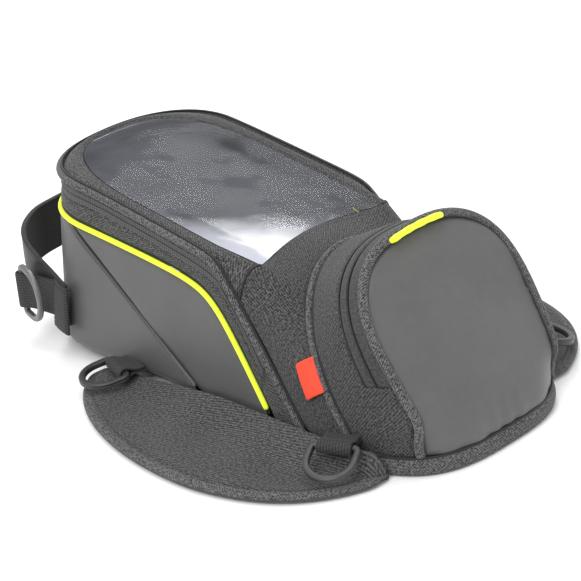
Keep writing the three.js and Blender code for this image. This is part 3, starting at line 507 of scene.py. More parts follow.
# ---- materials ----
class Nodes:
    """A small shorthand for a material's node tree."""

    def __init__(self, name):
        self.material = bpy.data.materials.new(name)
        self.material.use_nodes = True
        self.tree = self.material.node_tree
        self.tree.nodes.clear()
        self.output = self.tree.nodes.new("ShaderNodeOutputMaterial")

    def add(self, kind, **inputs):
        node = self.tree.nodes.new(kind)
        for key, value in inputs.items():
            self.feed(node.inputs[key.replace("_", " ")], value)
        return node

    def feed(self, socket, value):
        if isinstance(value, bpy.types.NodeSocket):
            self.tree.links.new(value, socket)
        else:
            socket.default_value = value

    def math(self, operation, a, b=0.0, c=0.0):
        node = self.tree.nodes.new("ShaderNodeMath")
        node.operation = operation
        for socket, value in zip(node.inputs, (a, b, c)):
            self.feed(socket, value)
        return node.outputs[0]

    def cloth(self):
        """Distances along and across the cloth, in millimetres."""
        node = self.tree.nodes.new("ShaderNodeAttribute")
        node.attribute_name = "cloth"
        return node.outputs["Vector"]

    def place(self):
        """The row-frame position, in millimetres, for pieces with no cloth distances."""
        node = self.tree.nodes.new("ShaderNodeTexCoord")
        scale = self.tree.nodes.new("ShaderNodeVectorMath")
        scale.operation = "SCALE"
        self.feed(scale.inputs[0], node.outputs["Object"])
        scale.inputs["Scale"].default_value = 1000.0
        return scale.outputs[0]

    def split(self, vector):
        node = self.tree.nodes.new("ShaderNodeSeparateXYZ")
        self.feed(node.inputs[0], vector)
        return node.outputs

    def noise(self, vector, scale, detail=2.0, rough=0.5):
        node = self.add("ShaderNodeTexNoise", Scale=scale, Detail=detail, Roughness=rough)
        self.feed(node.inputs["Vector"], vector)
        return node.outputs["Fac"]

    def blend(self, factor, first, second):
        node = self.tree.nodes.new("ShaderNodeMix")
        node.data_type = "RGBA"
        self.feed(node.inputs[0], factor)
        self.feed(node.inputs[6], first)
        self.feed(node.inputs[7], second)
        return node.outputs[2]

    def bump(self, height, distance, strength=1.0):
        node = self.add("ShaderNodeBump", Strength=strength, Distance=distance)
        self.feed(node.inputs["Height"], height)
        return node.outputs[0]

    def finish(self, **inputs):
        shader = self.tree.nodes.new("ShaderNodeBsdfPrincipled")
        for key, value in inputs.items():
            self.feed(shader.inputs[key.replace("_", " ")], value)
        self.tree.links.new(shader.outputs[0], self.output.inputs["Surface"])
        return self.material


def grey(value):
    return (value, value, value, 1.0)


def wave(n, distance, pitch):
    """0 to 1 along a distance, once per pitch."""
    return n.math("MULTIPLY_ADD", n.math("SINE", n.math("MULTIPLY", distance, 2 * math.pi / pitch)), 0.5, 0.5)


def woven(name, dark, light, pitch=1.6, angle=45.0, relief=0.0003, twill=0.62, mottle=0.25, rough=0.88):
    """Coarse woven polyester: twill ribs crossed by the weft, light flecks and slow changes of tone."""
    n = Nodes(name)
    vector = n.cloth()
    x, y, _ = n.split(vector)
    c, s = math.cos(math.radians(angle)), math.sin(math.radians(angle))
    along = n.math("MULTIPLY_ADD", x, c, n.math("MULTIPLY", y, s))
    across = n.math("MULTIPLY_ADD", y, c, n.math("MULTIPLY", x, -s))
    ribs, weft = wave(n, along, pitch), wave(n, across, pitch * 0.82)
    height = n.math("MULTIPLY_ADD", ribs, twill, n.math("MULTIPLY", weft, 1 - twill))
    fine = n.noise(vector, 0.62, 4.0, 0.85)
    slow = n.noise(n.place(), 0.035, 3.0)
    tone = n.math("MULTIPLY_ADD", height, 0.62, n.math("MULTIPLY_ADD", fine, 4.4, -1.98))
    tone = n.math("MULTIPLY_ADD", slow, mottle, n.math("SUBTRACT", tone, mottle / 2))
    ramp = n.add("ShaderNodeValToRGB", Fac=tone)
    ramp.color_ramp.elements[0].position = 0.22
    ramp.color_ramp.elements[0].color = grey(dark)
    ramp.color_ramp.elements[1].position = 0.98
    ramp.color_ramp.elements[1].color = grey(light)
    bump = n.bump(n.math("MULTIPLY_ADD", fine, 0.8, height), relief)
    return n.finish(
        Base_Color=ramp.outputs[0],
        Roughness=n.math("MULTIPLY_ADD", fine, 0.1, rough - 0.05),
        Normal=bump,
        Sheen_Weight=0.08,
        Sheen_Roughness=0.45,
    )


def coated(name, dark, light, rough=0.46):
    """Cloth with a smooth polyurethane face: a faint fine weave, soft mottling and scuffed patches."""
    n = Nodes(name)
    vector = n.cloth()
    x, y, _ = n.split(vector)
    grain = n.math("MULTIPLY", wave(n, x, 0.7), wave(n, y, 0.7))
    fine = n.noise(vector, 2.6, 2.0)
    slow = n.noise(n.place(), 0.02, 4.0, 0.6)
    scuff = n.noise(n.place(), 0.16, 5.0, 0.65)
    tone = n.math("MULTIPLY_ADD", slow, 0.8, n.math("MULTIPLY", scuff, 0.35))
    tone = n.math("MULTIPLY_ADD", fine, 0.18, n.math("SUBTRACT", tone, 0.2))
    height = n.math("MULTIPLY_ADD", grain, 0.5, n.math("MULTIPLY", scuff, 0.7))
    return n.finish(
        Base_Color=n.blend(tone, grey(dark), grey(light)),
        Roughness=n.math("MULTIPLY_ADD", scuff, 0.16, rough - 0.08),
        Normal=n.bump(height, 0.00012, 0.7),
        Sheen_Weight=0.06,
        Sheen_Roughness=0.5,
    )


def ribbed(name, dark, light, pitch, relief=0.0003, along=True, dashes=0.0, rough=0.85):
    """Webbing or zip tape: ribs across the length, each crossed by its yarns."""
    n = Nodes(name)
    vector = n.cloth()
    x, y, _ = n.split(vector)
    main, cross = (x, y) if along else (y, x)
    ribs = wave(n, main, pitch)
    yarn = wave(n, n.math("MULTIPLY_ADD", cross, 1.0, n.math("MULTIPLY", main, dashes)), pitch * 1.4)
    fine = n.noise(vector, 2.2, 3.0, 0.7)
    height = n.math("MULTIPLY_ADD", ribs, 0.7, n.math("MULTIPLY", yarn, 0.3))
    tone = n.math("MULTIPLY_ADD", height, 0.7, n.math("MULTIPLY", fine, 0.35))
    return n.finish(
        Base_Color=n.blend(tone, grey(dark), grey(light)),
        Roughness=rough,
        Normal=n.bump(height, relief),
        Sheen_Weight=0.06,
        Sheen_Roughness=0.45,
    )


def dyed(name, deep, bright, pitch=0.9, glow=0.0, rough=0.6):
    """A strongly coloured tape or cord with a fine weave; glow adds a painted glow, emission in the cloth's
    own colour that makes it shine beyond what its lamps give.
    """
    n = Nodes(name)
    vector = n.cloth()
    x, y, _ = n.split(vector)
    weave = n.math("MULTIPLY", wave(n, x, pitch), wave(n, y, pitch))
    fine = n.noise(vector, 1.6, 3.0)
    tone = n.math("MULTIPLY_ADD", weave, 0.3, n.math("MULTIPLY", fine, 0.9))
    colour = n.blend(tone, deep, bright)
    # painted glow: emission makes the cloth shine brighter than the lamps light it
    extra = {"Emission_Color": colour, "Emission_Strength": glow} if glow else {}
    return n.finish(
        Base_Color=colour, Roughness=rough, Normal=n.bump(weave, 0.0001), Sheen_Weight=0.1, **extra
    )


def plastic(name, dark, light, rough=0.36, metallic=0.0):
    """Moulded plastic or plated metal, a little uneven, with lighter wear."""
    n = Nodes(name)
    vector = n.place()
    cloudy = n.noise(vector, 0.12, 4.0, 0.6)
    fine = n.noise(vector, 1.4, 3.0, 0.6)
    tone = n.math("MULTIPLY_ADD", cloudy, 0.8, n.math("MULTIPLY", fine, 0.25))
    return n.finish(
        Base_Color=n.blend(tone, grey(dark), grey(light)),
        Roughness=n.math("MULTIPLY_ADD", fine, 0.2, rough - 0.1),
        Normal=n.bump(fine, 0.00005),
        Metallic=metallic,
    )


def clear_film(name):
    """Flexible clear sheet: mostly see-through, faintly milky, mirroring more at a low angle, with a painted
    reflection: a whitish patch laid over the near side and the front.
    """
    n = Nodes(name)
    vector = n.place()
    haze = n.noise(vector, 0.03, 3.0)
    waves = n.noise(vector, 0.02, 2.0)
    normal = n.bump(waves, 0.0035)
    milk_and_painted_reflection = n.add("ShaderNodeBsdfPrincipled", Roughness=0.16)
    n.feed(milk_and_painted_reflection.inputs["Base Color"], n.blend(haze, (0.50, 0.52, 0.60, 1), (0.66, 0.68, 0.75, 1)))
    n.feed(milk_and_painted_reflection.inputs["Normal"], normal)
    milk_and_painted_reflection.inputs["IOR"].default_value = 1.52
    clear = n.add("ShaderNodeBsdfTransparent", Color=(0.80, 0.81, 0.90, 1))
    facing = n.add("ShaderNodeFresnel", IOR=1.6)
    n.feed(facing.inputs["Normal"], normal)
    across = n.split(vector)
    # painted reflection: a whitish patch that grows towards the near side and the front, mixed in as milky
    # sheet
    near = n.math("MULTIPLY_ADD", across[1], -0.014, n.math("MULTIPLY", across[0], 0.013))
    patch = n.math("MULTIPLY_ADD", haze, 0.6, n.math("SUBTRACT", near, 0.45))
    patch = n.math("SMOOTH_MIN", n.math("MAXIMUM", patch, 0.0), 0.85, 0.2)
    share = n.math("MULTIPLY_ADD", facing.outputs[0], 0.6, n.math("MULTIPLY_ADD", patch, 0.75, 0.02))
    mix = n.add("ShaderNodeMixShader", Fac=n.math("MINIMUM", share, 0.85))
    n.tree.links.new(clear.outputs[0], mix.inputs[1])
    n.tree.links.new(milk_and_painted_reflection.outputs[0], mix.inputs[2])
    n.tree.links.new(mix.outputs[0], n.output.inputs["Surface"])
    return n.material


def plain_stage(name, value):
    n = Nodes(name)
    faint = n.noise(n.place(), 0.01, 2.0)
    return n.finish(Base_Color=n.blend(faint, grey(value * 0.995), grey(value)), Roughness=0.9)


M = {
    "coated": coated("coated", 0.055, 0.105, 0.42),
    "door": coated("coated_door", 0.07, 0.12, 0.44),
    "strap": coated("coated_strap", 0.012, 0.035, 0.5),
    "woven": woven("woven", 0.004, 0.12),
    "front": woven("woven_front", 0.003, 0.105, angle=35),
    "band": woven("woven_band", 0.004, 0.12, pitch=1.4, angle=60),
    "gusset": woven("woven_gusset", 0.003, 0.10, angle=-35),
    "flap": woven("woven_flap", 0.008, 0.12, pitch=1.7, angle=80, twill=0.75),
    "binding": woven("woven_binding", 0.01, 0.17, pitch=1.4, angle=40, relief=0.0003),
    "lining": woven("lining", 0.008, 0.024, pitch=0.8, relief=0.00008, rough=0.8),
    "zip_ribs": ribbed("zip_ribs", 0.003, 0.13, 1.8, 0.0003),
    "zip_plain": woven("zip_plain", 0.018, 0.075, pitch=0.8, angle=0, relief=0.00006, twill=0.5),
    "webbing": ribbed("webbing", 0.003, 0.05, 1.9, 0.0004, along=False, dashes=0.35),
    "thread": dyed("thread", grey(0.006), grey(0.016), 0.5),
    # painted shade: the seam cords stand in for the shadow in the grooves between cloths
    "seam": dyed("seam_shadow", grey(0.004), grey(0.008), 0.8),
    # the neon cloth and the neon pulls carry a painted glow (emission)
    "neon": dyed("neon_fabric", (0.52, 0.74, 0.012, 1), (0.82, 1.0, 0.04, 1), glow=0.35),
    "neon_pull": dyed("neon_pull", (0.45, 0.66, 0.012, 1), (0.72, 0.92, 0.04, 1), glow=0.2, rough=0.45),
    "red": dyed("red_tab", (0.72, 0.035, 0.008, 1), (0.86, 0.06, 0.015, 1), 0.7),
    "black_plastic": plastic("black_plastic", 0.016, 0.05, 0.38),
    "ring_metal": plastic("ring_metal", 0.10, 0.20, 0.42, 0.65),
    "slider_metal": plastic("slider_metal", 0.10, 0.20, 0.38, 0.8),
    "magnet": plastic("magnet", 0.3, 0.5, 0.3, 1.0),
    "board": plastic("board", 0.012, 0.03, 0.6),
    "film": clear_film("clear_film"),
}


def dressed(piece, place, slot_name, *nodes):
    attach(piece, place)
    if nodes:
        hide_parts(*nodes)
    return piece


def sewn(cloth, name, outside, place, slot_name, *nodes, thickness=1.6):
    """A cloth with the lining on its inner face."""
    dressed(cloth.mesh(name, [M[outside], M["lining"]], thickness), place, slot_name, *nodes)


def stitched(name, runs, place, slot_name, pitch, length, radius):
    dressed(stitch_mesh(name, runs, M["thread"], pitch, length, radius), place, slot_name)


def seam(name, points, out, half_width, half_height, place, slot_name, sides=6, level=0):
    """A dark cord sunk in the groove between two cloths: painted shade for the groove's shadow and the dark
    lining seen in it; the zip coils use it as their real dark colour.
    """
    cord = cord_mesh(name, points, out, half_width, half_height, [M["seam"]], sides, level)
    dressed(cord, place, slot_name)


# ---- camera, lights and floor ----
def make_camera():
    data = bpy.data.cameras.new("camera")
    data.sensor_width = 36
    data.lens = 161.1
    data.clip_start, data.clip_end = 0.1, 20
    camera = bpy.data.objects.new("camera", data)
    right = Vector((0.70509, 0.70319, -0.09152))
    up = Vector((-0.24843, 0.36583, 0.89691))
    back = Vector((0.66418, -0.60966, 0.43264))
    camera.matrix_world = Matrix.Translation(Vector((1.10835, -1.00512, 0.76555))) @ Matrix(
        (right, up, back)
    ).transposed().to_4x4()
    bpy.context.scene.collection.objects.link(camera)
    bpy.context.scene.camera = camera


def area_light(name, place, target, size, power):
    data = bpy.data.lights.new(name, "AREA")
    data.shape = "DISK"
    data.size = size
    data.energy = power
    lamp = bpy.data.objects.new(name, data)
    lamp.location = place
    lamp.rotation_mode = "QUATERNION"
    lamp.rotation_quaternion = (Vector(target) - Vector(place)).to_track_quat("-Z", "Y")
    bpy.context.scene.collection.objects.link(lamp)


def make_stage():
    world = bpy.data.worlds.new("studio")
    bpy.context.scene.world = world
    world.use_nodes = True
    world.node_tree.nodes["Background"].inputs["Color"].default_value = (1, 1, 1, 1)
    world.node_tree.nodes["Background"].inputs["Strength"].default_value = 0.85
    area_light("key", (0.5, -1.5, 1.6), (0, 0, 0.05), 1.2, 22)
    area_light("top", (-0.1, 0.1, 2.0), (0, 0, 0.05), 1.6, 14)
    area_light("window_glow", (-0.95, 1.05, 1.25), (-0.03, 0, 0.1), 0.55, 9)
    mesh = bpy.data.meshes.new("floor")
    half = 6.0
    corners = [(-half, -half, 0), (half, -half, 0), (half, half, 0), (-half, half, 0)]
    mesh.from_pydata(corners, [], [(0, 1, 2, 3)])
    mesh.materials.append(plain_stage("floor_paper", 0.93))
    floor = bpy.data.objects.new("floor", mesh)
    floor.location.z = -0.0002
    bpy.context.scene.collection.objects.link(floor)
    bpy.context.scene.view_settings.view_transform = "Standard"


# ---- walls ----
def wall_cloth(start, end, low, high, nu, nv, crowd=0.85):
    s = even_s(start, end, nu)
    x = wall_x(s)
    v = rows(nv, crowd)
    z = lerp(low(x)[:, None], high(x)[:, None], v[None, :])
    return Cloth(wall(np.repeat(s[:, None], nv, 1), z))


def make_lower_walls():
    under_piping = beside(neon_z, -PIPING_R + 0.2)
    start, end = wall_run(1)

    def shell_top(x):
        return np.minimum(under_piping(x), crescent_z(x) - 0.3)

    shell = wall_cloth(start, end, foot_z, shell_top, 190, 26)
    shell.ripple(0.5, 60, 3).roll(1.2, 1.9, "h")
    sewn(shell, "lower_shell_cloth", "coated", "bag", "coated_fabric", "lower_shell")
    top_edge = shell.path(2.6, "high")
    runs = [part_of(top_edge, 0.0, 0.27), part_of(top_edge, 0.73, 1.0)]
    for side, node in ((-1, "near"), (1, "far")):
        a, b = wall_s(66), wall_s(-116)
        if side > 0:
            a, b = 1 - b, 1 - a
        panel = wall_cloth(
            a, b, lambda x: np.maximum(crescent_z(x) + 0.3, foot_z(x)), under_piping, 110, 22
        )
        panel.ripple(0.45, 50, 5 + side).roll(1.2, 1.9, "lh")
        sewn(panel, "side_cloth_" + node, "coated", "bag", "coated_fabric", "side_panel_" + node)
    stitched("wall_stitches", runs, "bag", "coated_fabric", 2.6, 1.9, 0.24)
    s = even_s(*wall_run(30), 200)
    z = np.minimum(crescent_z(wall_x(s)), neon_z(wall_x(s)) - 1)
    keep = np.maximum(z, foot_z(wall_x(s)))
    line, out = wall_line(s, lambda x: np.interp(x, *sorted_pairs(wall_x(s), keep)), -1.0)
    seam("crescent_seam", line, out, 0.9, 0.7, "bag", "coated_fabric", 8, 1)


def sorted_pairs(x, z):
    order = np.argsort(x)
    return x[order], z[order]


def make_neon_piping():
    s = even_s(*wall_run(66), 220)
    line, out = wall_line(s, neon_z, 0.5)
    piece = cord_mesh("neon_piping_cord", line, out, 1.9, 1.7, [M["neon"]], 12)
    dressed(piece, "bag", "neon_fabric", "neon_piping")
    # painted shade: dark cords either side of the piping stand for the shadows in its grooves
    for name, shift in (("neon_seam_low", -2.2), ("neon_seam_high", 2.2)):
        line, out = wall_line(s, beside(neon_z, shift), -0.7)
        seam(name, line, out, 0.7, 0.6, "bag", "neon_fabric")


def make_bands():
    above_piping = beside(neon_z, PIPING_R + 0.1)

    def foot_edge(x):
        return np.maximum(above_piping(x), 5.0)

    band = wall_cloth(*wall_run(ZIP_END_X), above_piping, beside(zip_z, -ZIP_TAPE), 210, 16)
    band.ripple(0.3, 45, 11).roll(0.9, 1.6, "lh")
    sewn(band, "lower_band_cloth", "band", "bag", "woven_fabric", "lower_band")
    upper = wall_cloth(*wall_run(ZIP_END_X), beside(zip_z, ZIP_TAPE), beside(seam_z, -LID_PIPING_R), 210, 14)
    upper.ripple(0.3, 45, 12).roll(0.9, 1.6, "lh")
    sewn(upper, "lid_band_cloth", "band", LID_FOLD, "woven_fabric", "lid_rim")
    runs = [band.path(1.5, "low")]
    stitched("band_stitches", runs, "bag", "woven_fabric", 2.6, 1.9, 0.22)
    for side, node in ((-1, "near"), (1, "far")):
        a, b = wall_s(96), wall_s(ZIP_END_X - 0.5)
        if side > 0:
            a, b = 1 - b, 1 - a
        foot = wall_cloth(a, b, foot_edge, lambda x: np.maximum(beside(seam_z, -LID_PIPING_R)(x), 6), 40, 22)
        foot.ripple(0.3, 30, 13).roll(0.9, 1.6, "lh")
        sewn(foot, "band_foot_" + node, "band", "bag", "woven_fabric", "band_front_" + node)
    for name, place, low, high, node in (
        ("zip_tape_low", "bag", -ZIP_TAPE - 0.2, -0.25, "main_zip_tape_lower"),
        ("zip_tape_high", LID_FOLD, 0.25, ZIP_TAPE + 0.2, "main_zip_tape_upper"),
    ):
        tape = wall_cloth(*wall_run(ZIP_END_X), beside(zip_z, low), beside(zip_z, high), 240, 5, 0)
        tape.push(np.full(tape.points.shape[:2], -0.5))
        dressed(tape.mesh(name, [M["zip_ribs"]], 1.0), place, "zip_tape", node)
    s = even_s(*wall_run(ZIP_END_X - 1), 220)
    line, out = wall_line(s, zip_z, -0.9)
    seam("zip_coil", line, out, 0.9, 0.7, "bag", "zip_tape", 8, 1)
    ends = []
    for side in (-1, 1):
        x = np.full(12, ZIP_END_X + 1.5)
        s = wall_s(x) if side < 0 else 1 - wall_s(x)
        z = np.linspace(zip_z(ZIP_END_X) - 8, seam_z(ZIP_END_X) - 3, 12)
        here = wall(s, z)
        ends.append((here + [0, side * 0.4, 0], np.tile([0, side, 0.1], (12, 1))))
    stitched("zip_end_stitches", ends, "bag", "zip_tape", 1.3, 1.0, 0.3)


def make_lid_piping():
    s = even_s(*wall_run(98), 300)
    line, out = wall_line(s, seam_z, 0.5)
    foot = smooth(wall_x(s), 60, 98)
    out = unit(out + xyz(np.zeros(len(s)), np.zeros(len(s)), 0.6 * (1 - foot)))
    piece = cord_mesh("lid_piping_cord", line, out, 2.5, 2.2, [M["binding"]], 12)
    dressed(piece, LID_FOLD, "binding_fabric", "lid_piping", "front_piping_near", "front_piping_far")
    # painted shade: dark cords either side of the lid piping stand for the shadows in its grooves
    for name, shift, sink in (("lid_seam_low", -2.7, -0.9), ("lid_seam_high", 2.5, -0.9)):
        line, out = wall_line(s, beside(seam_z, shift), sink)
        seam(name, line, out, 0.8, 0.7, LID_FOLD, "binding_fabric")


# ---- lid top: frame round the window, film, and the sloping front ----
BACK, ARCH = window_loop()


def lid_frame_cloth():
    """Rows run from the film out to the lid piping, columns from the near front corner round the tail."""
    inner = on_lid(BACK[::-1], 0.2)
    s = even_s(*wall_run(CUT_X), OUTER_COUNT)
    outer_line = wall_line(s, beside(seam_z, 1.0), -1.2)[0]
    split = np.abs(outer_line[: OUTER_COUNT // 2, 0] - inner[SIDE_COUNT, 0]).argmin()
    near = Line(outer_line[: split + 1])(np.linspace(0, 1, SIDE_COUNT))
    tail = Line(outer_line[split : OUTER_COUNT - split])(np.linspace(0, 1, len(inner) + 2 - 2 * SIDE_COUNT))
    far = near[::-1] * [1, -1, 1]
    outer = np.vstack([near, tail[1:-1], far])
    v = rows(12, 0.6)
    flat = lerp(inner[:, None], outer[:, None], v[None, :, None])
    drop = v[None, :] ** 2.6
    flat[..., 2] = lerp(inner[:, None, 2], outer[:, None, 2], drop) + 1.1 * np.sin(np.pi * v)[None, :]
    return Cloth(flat)


def make_lid_top():
    cloth = lid_frame_cloth()
    edge = cloth.points[:, 0].copy()
    cut = cloth.points[0].copy()
    cloth.roll(0.8, 1.5, "l").roll(1.2, 1.8, "h")
    runs = [cloth.path(2.2, "low"), cloth.path(4.6, "low")]
    sewn(cloth, "lid_frame_cloth", "woven", LID_FOLD, "woven_fabric", "lid_panel")
    stitched("window_stitches", runs, LID_FOLD, "woven_fabric", 2.6, 1.9, 0.22)
    return edge, cut


def make_film(edge):
    boundary = np.vstack([edge, on_lid(ARCH[::-1], 0.2)])
    spine = boundary.copy()
    spine[:, 0] = np.clip(boundary[:, 0], -96, -4)
    spine[:, 1] = 0
    v = np.linspace(0, 1, 18)
    grid = lerp(boundary[:, None], spine[:, None], v[None, :, None])
    grid[..., 2] = lid_top(grid[..., 0], grid[..., 1]) - 0.2
    x, y = grid[..., 0], grid[..., 1]
    inset = np.minimum(1, v * 3)[None, :]
    sag = -1.4 * np.sin(np.pi * np.clip((x + 147) / 195, 0, 1)) * (1 - (y / 56) ** 2)
    sway = 0.9 * np.sin(x / 23 + y / 31) + 0.6 * np.sin(y / 17 - x / 41 + 1.3)
    grid[..., 2] += (sag + sway) * inset
    piece = Cloth(grid).mesh("window_film_sheet", [M["film"]], 0.0, 1, closed=True)
    dressed(piece, LID_FOLD, "clear_film", "window_film")


def rear_of_front(cut):
    """The rear edge of the sloping front: up the seam, over the cut to the film's corner, along its arch."""
    x = np.linspace(98, CUT_X, 80)
    line = wall_line(wall_s(x), beside(seam_z, 2.2), -1.0)[0]
    line = np.vstack([line, cut[::-1][1:]])
    arch = on_lid(ARCH[: len(ARCH) // 2 + 1], 0.2)
    half = np.vstack([line, arch])
    other = half[::-1][1:] * [1, -1, 1]
    return Line(np.vstack([half, other]))


def make_front(cut):
    rear = rear_of_front(cut)
    u, v = np.linspace(0, 1, 200), rows(34, 0.8)
    a, b = rear(u), WELT(np.clip(u, 0.004, 0.996))
    grid = lerp(a[:, None], b[:, None], v[None, :, None])
    outward = grid - [0, 0, 40]
    outward[..., 0] = 0
    width = np.linalg.norm(a - b, axis=1)
    swell = 3.4 * smooth(width, 10, 60)
    grid = grid + unit(outward) * (swell[:, None] * np.sin(np.pi * v)[None, :])[..., None]
    cloth = Cloth(grid)
    cloth.ripple(0.5, 55, 21).roll(1.5, 2.2, "h").roll(0.9, 1.5, "l")
    sewn(cloth, "front_cloth", "front", LID_FOLD, "woven_fabric", "front_panel")
    lower, upper = cloth.path(2.0, "low"), cloth.path(5.2, "low")
    arch = (0.36, 0.64)
    runs = [part_of(lower, *arch), part_of(upper, *arch)]
    stitched("arch_stitches", runs, LID_FOLD, "woven_fabric", 2.6, 1.9, 0.26)
    for mirror in (1, -1):
        points = cut * [1, mirror, 1]
        up = np.tile([0.3, -0.5 * mirror, 1.0], (len(points), 1))
        name = "cut_seam_%d" % (mirror + 1)
        seam(name, points - [0, 0, 0.4], up, 1.0, 0.9, LID_FOLD, "woven_fabric", 8, 1)
    runs = [part_of(cloth.path(3.4, "high"), 0.02, 0.98)]
    stitched("front_welt_stitches", runs, LID_FOLD, "woven_fabric", 2.8, 2.0, 0.2)


# ---- pocket ----
def arch_out(line, towards):
    out = line.points * [0, 1, 1] - [0, 0, 40]
    return unit(unit(out) + towards)


def make_welt():
    u = np.linspace(0.01, 0.99, 190)
    line = Line(WELT(u))
    out = arch_out(line, np.array([-0.35, 0, 0.1]))
    piece = cord_mesh("welt_cord", line.points, out, 2.5, 2.5, [M["binding"]], 12)
    dressed(piece, "bag", "binding_fabric", "pocket_welt")
    # painted shade: dark cords either side of the welt stand for the shadows in its grooves
    for name, v in (("welt_seam_front", 0.07), ("welt_seam_rear", -0.07)):
        points = gusset_point(u, np.full(len(u), v), 3.0) - out * 0.9
        seam(name, points, out, 0.9, 0.8, "bag", "binding_fabric")


def gusset_cloth(u0, u1, v0, v1, nu, nv, seed):
    u, v = np.linspace(u0, u1, nu), lerp(v0, v1, rows(nv, 0.8))
    cloth = Cloth(gusset_point(np.repeat(u[:, None], nv, 1), np.repeat(v[None, :], nu, 0)))
    return cloth.ripple(0.35, 40, seed)


def make_gusset():
    rear = gusset_cloth(0.004, 0.996, 0.05, ZIP_REAR, 200, 22, 31).roll(1.2, 1.9, "l").roll(0.9, 1.3, "h")
    sewn(rear, "gusset_cloth", "gusset", "bag", "woven_fabric", "pocket_gusset")
    for side, a, b in (("near", 0.004, ZIP_END + 0.006), ("far", 1 - ZIP_END - 0.006, 0.996)):
        foot = gusset_cloth(a, b, ZIP_REAR - 0.03, 0.93, 30, 16, 33)
        foot.push(np.full(foot.points.shape[:2], 0.15)).roll(1.1, 1.7, "h")
        sewn(foot, "gusset_foot_" + side, "gusset", "bag", "woven_fabric")
    inset = 0.004
    span = (ZIP_END + inset, 1 - ZIP_END - inset)
    tapes = (
        ("pocket_tape_rear", "bag", ZIP_REAR + 0.012, ZIP_LINE - 0.006, "pocket_zip_tape_rear"),
        ("pocket_tape_front", "pocket_door", ZIP_LINE + 0.006, ZIP_FRONT + 0.03, "pocket_zip_tape_front"),
    )
    for name, body, low, high, node in tapes:
        tape = gusset_cloth(*span, low, high, 160, 10, 35)
        tape.push(np.full(tape.points.shape[:2], -0.5)).roll(0.5, 1.0, "lh")
        dressed(tape.mesh(name, [M["zip_plain"]], 1.0), body, "zip_tape", node)
        edge = tape.path(1.2, "high" if body == "bag" else "low")
        stitched(name + "_stitches", [edge], body, "zip_tape", 1.7, 1.2, 0.2)
    u = np.linspace(*span, 180)
    for name, v, size in (("pocket_coil", ZIP_LINE, 0.5), ("pocket_tape_edge", ZIP_REAR + 0.004, 0.7)):
        points = gusset_point(u, np.full(len(u), v))
        out = arch_out(Line(points), np.zeros(3))
        seam(name, points - out * 1.0, out, size, 0.7, "bag", "zip_tape")
    ends = []
    for u_end in (ZIP_END - 0.006, 1 - ZIP_END + 0.006):
        points = gusset_point(np.full(14, u_end), np.linspace(ZIP_REAR, 0.92, 14))
        out = arch_out(Line(points), np.zeros(3))
        ends.append((points + out * 0.25, out))
    stitched("pocket_end_stitches", ends, "bag", "zip_tape", 1.9, 1.4, 0.28)


def make_door():
    across = np.linspace(-1, 1, 90)
    down = rows(60, 0.6)
    inset = 1.8
    top = inset + DOOR_CROWN * (1 - (1 - np.abs(across) ** DOOR_POWER) ** (1 / DOOR_POWER))
    q = lerp(np.minimum(top, DOOR_CROWN)[:, None], DOOR_LENGTH - 1.0, down[None, :])
    scale = (DOOR_HALF - inset) / DOOR_HALF
    y = across[:, None] * door_half(q) * scale
    belly = (1 - across[:, None] ** 2) ** 0.8
    crown = 5.0 * belly * smooth(q, 0, 30) * (1 - 0.5 * smooth(q, 90, DOOR_LENGTH))
    cloth = Cloth(door_plane(q, y, crown))
    cloth.face(45, 30, DOOR_OUT)
    cloth.ripple(0.55, 60, 41)
    puckers = np.sin(q / 3.1 + 4 * np.sin(q / 13)) * np.exp(-(1 - np.abs(across[:, None])) / 0.09) * 0.35
    pleats = np.sin(across[:, None] * 23 + 2 * np.sin(across[:, None] * 5))
    pleats = pleats * np.exp(-(DOOR_LENGTH - q) / 9) * 0.6
    cloth.push(puckers + pleats).roll(1.6, 2.4, "lhse")
    cloth.points[..., 2] -= 4.0 * smooth(q, 118, DOOR_LENGTH)
    sewn(cloth, "door_cloth", "door", DOOR_FOLD, "coated_fabric", "pocket_door_panel", "pocket_front_lower")


def make_door_piping():
    u = np.linspace(0.004, 0.996, 260)
    line = Line(DOOR_EDGE(u))
    out = unit(arch_out(line, np.zeros(3)) * 0.75 + DOOR_OUT * 0.75)
    piece = cord_mesh("door_piping_cord", line.points, out, 3.1, 2.6, [M["binding"]], 14)
    dressed(piece, DOOR_FOLD, "binding_fabric", "pocket_door_piping")
    # painted shade: dark cords beside the door piping stand for the shadows in its grooves
    inner = line.points - arch_out(line, np.zeros(3)) * 2.9 + DOOR_OUT * 0.4
    seam("door_seam", inner, out, 0.8, 0.8, DOOR_FOLD, "binding_fabric")
    back = line.points - DOOR_OUT * 2.8 - arch_out(line, np.zeros(3)) * 0.6
    seam("door_seam_rear", back, out, 0.8, 0.8, DOOR_FOLD, "binding_fabric")


def make_pull_loop():
    t = np.linspace(-1, 1, 44)
    half = 22.5
    y = half * t
    q = DOOR_CROWN * (1 - (1 - np.abs(y / DOOR_HALF) ** DOOR_POWER) ** (1 / DOOR_POWER))
    rise = 5.4 - 3.2 * smooth(np.abs(t), 0.86, 1.0) + 0.25 * np.sin(9 * t)
    points = door_plane(q + 1.6, y, rise)
    out = np.tile(unit(DOOR_OUT + [0, 0, 0.3]), (len(t), 1))
    width = 2.1 - 0.7 * smooth(np.abs(t), 0.9, 1.0) + 0.12 * np.sin(13 * t)
    piece = cord_mesh("pull_loop_cord", points, out, width, width * 0.85, [M["neon"]], 12)
    dressed(piece, "pocket_door", "neon_fabric", "pocket_pull_loop")


LABEL_LENGTH = 13.5


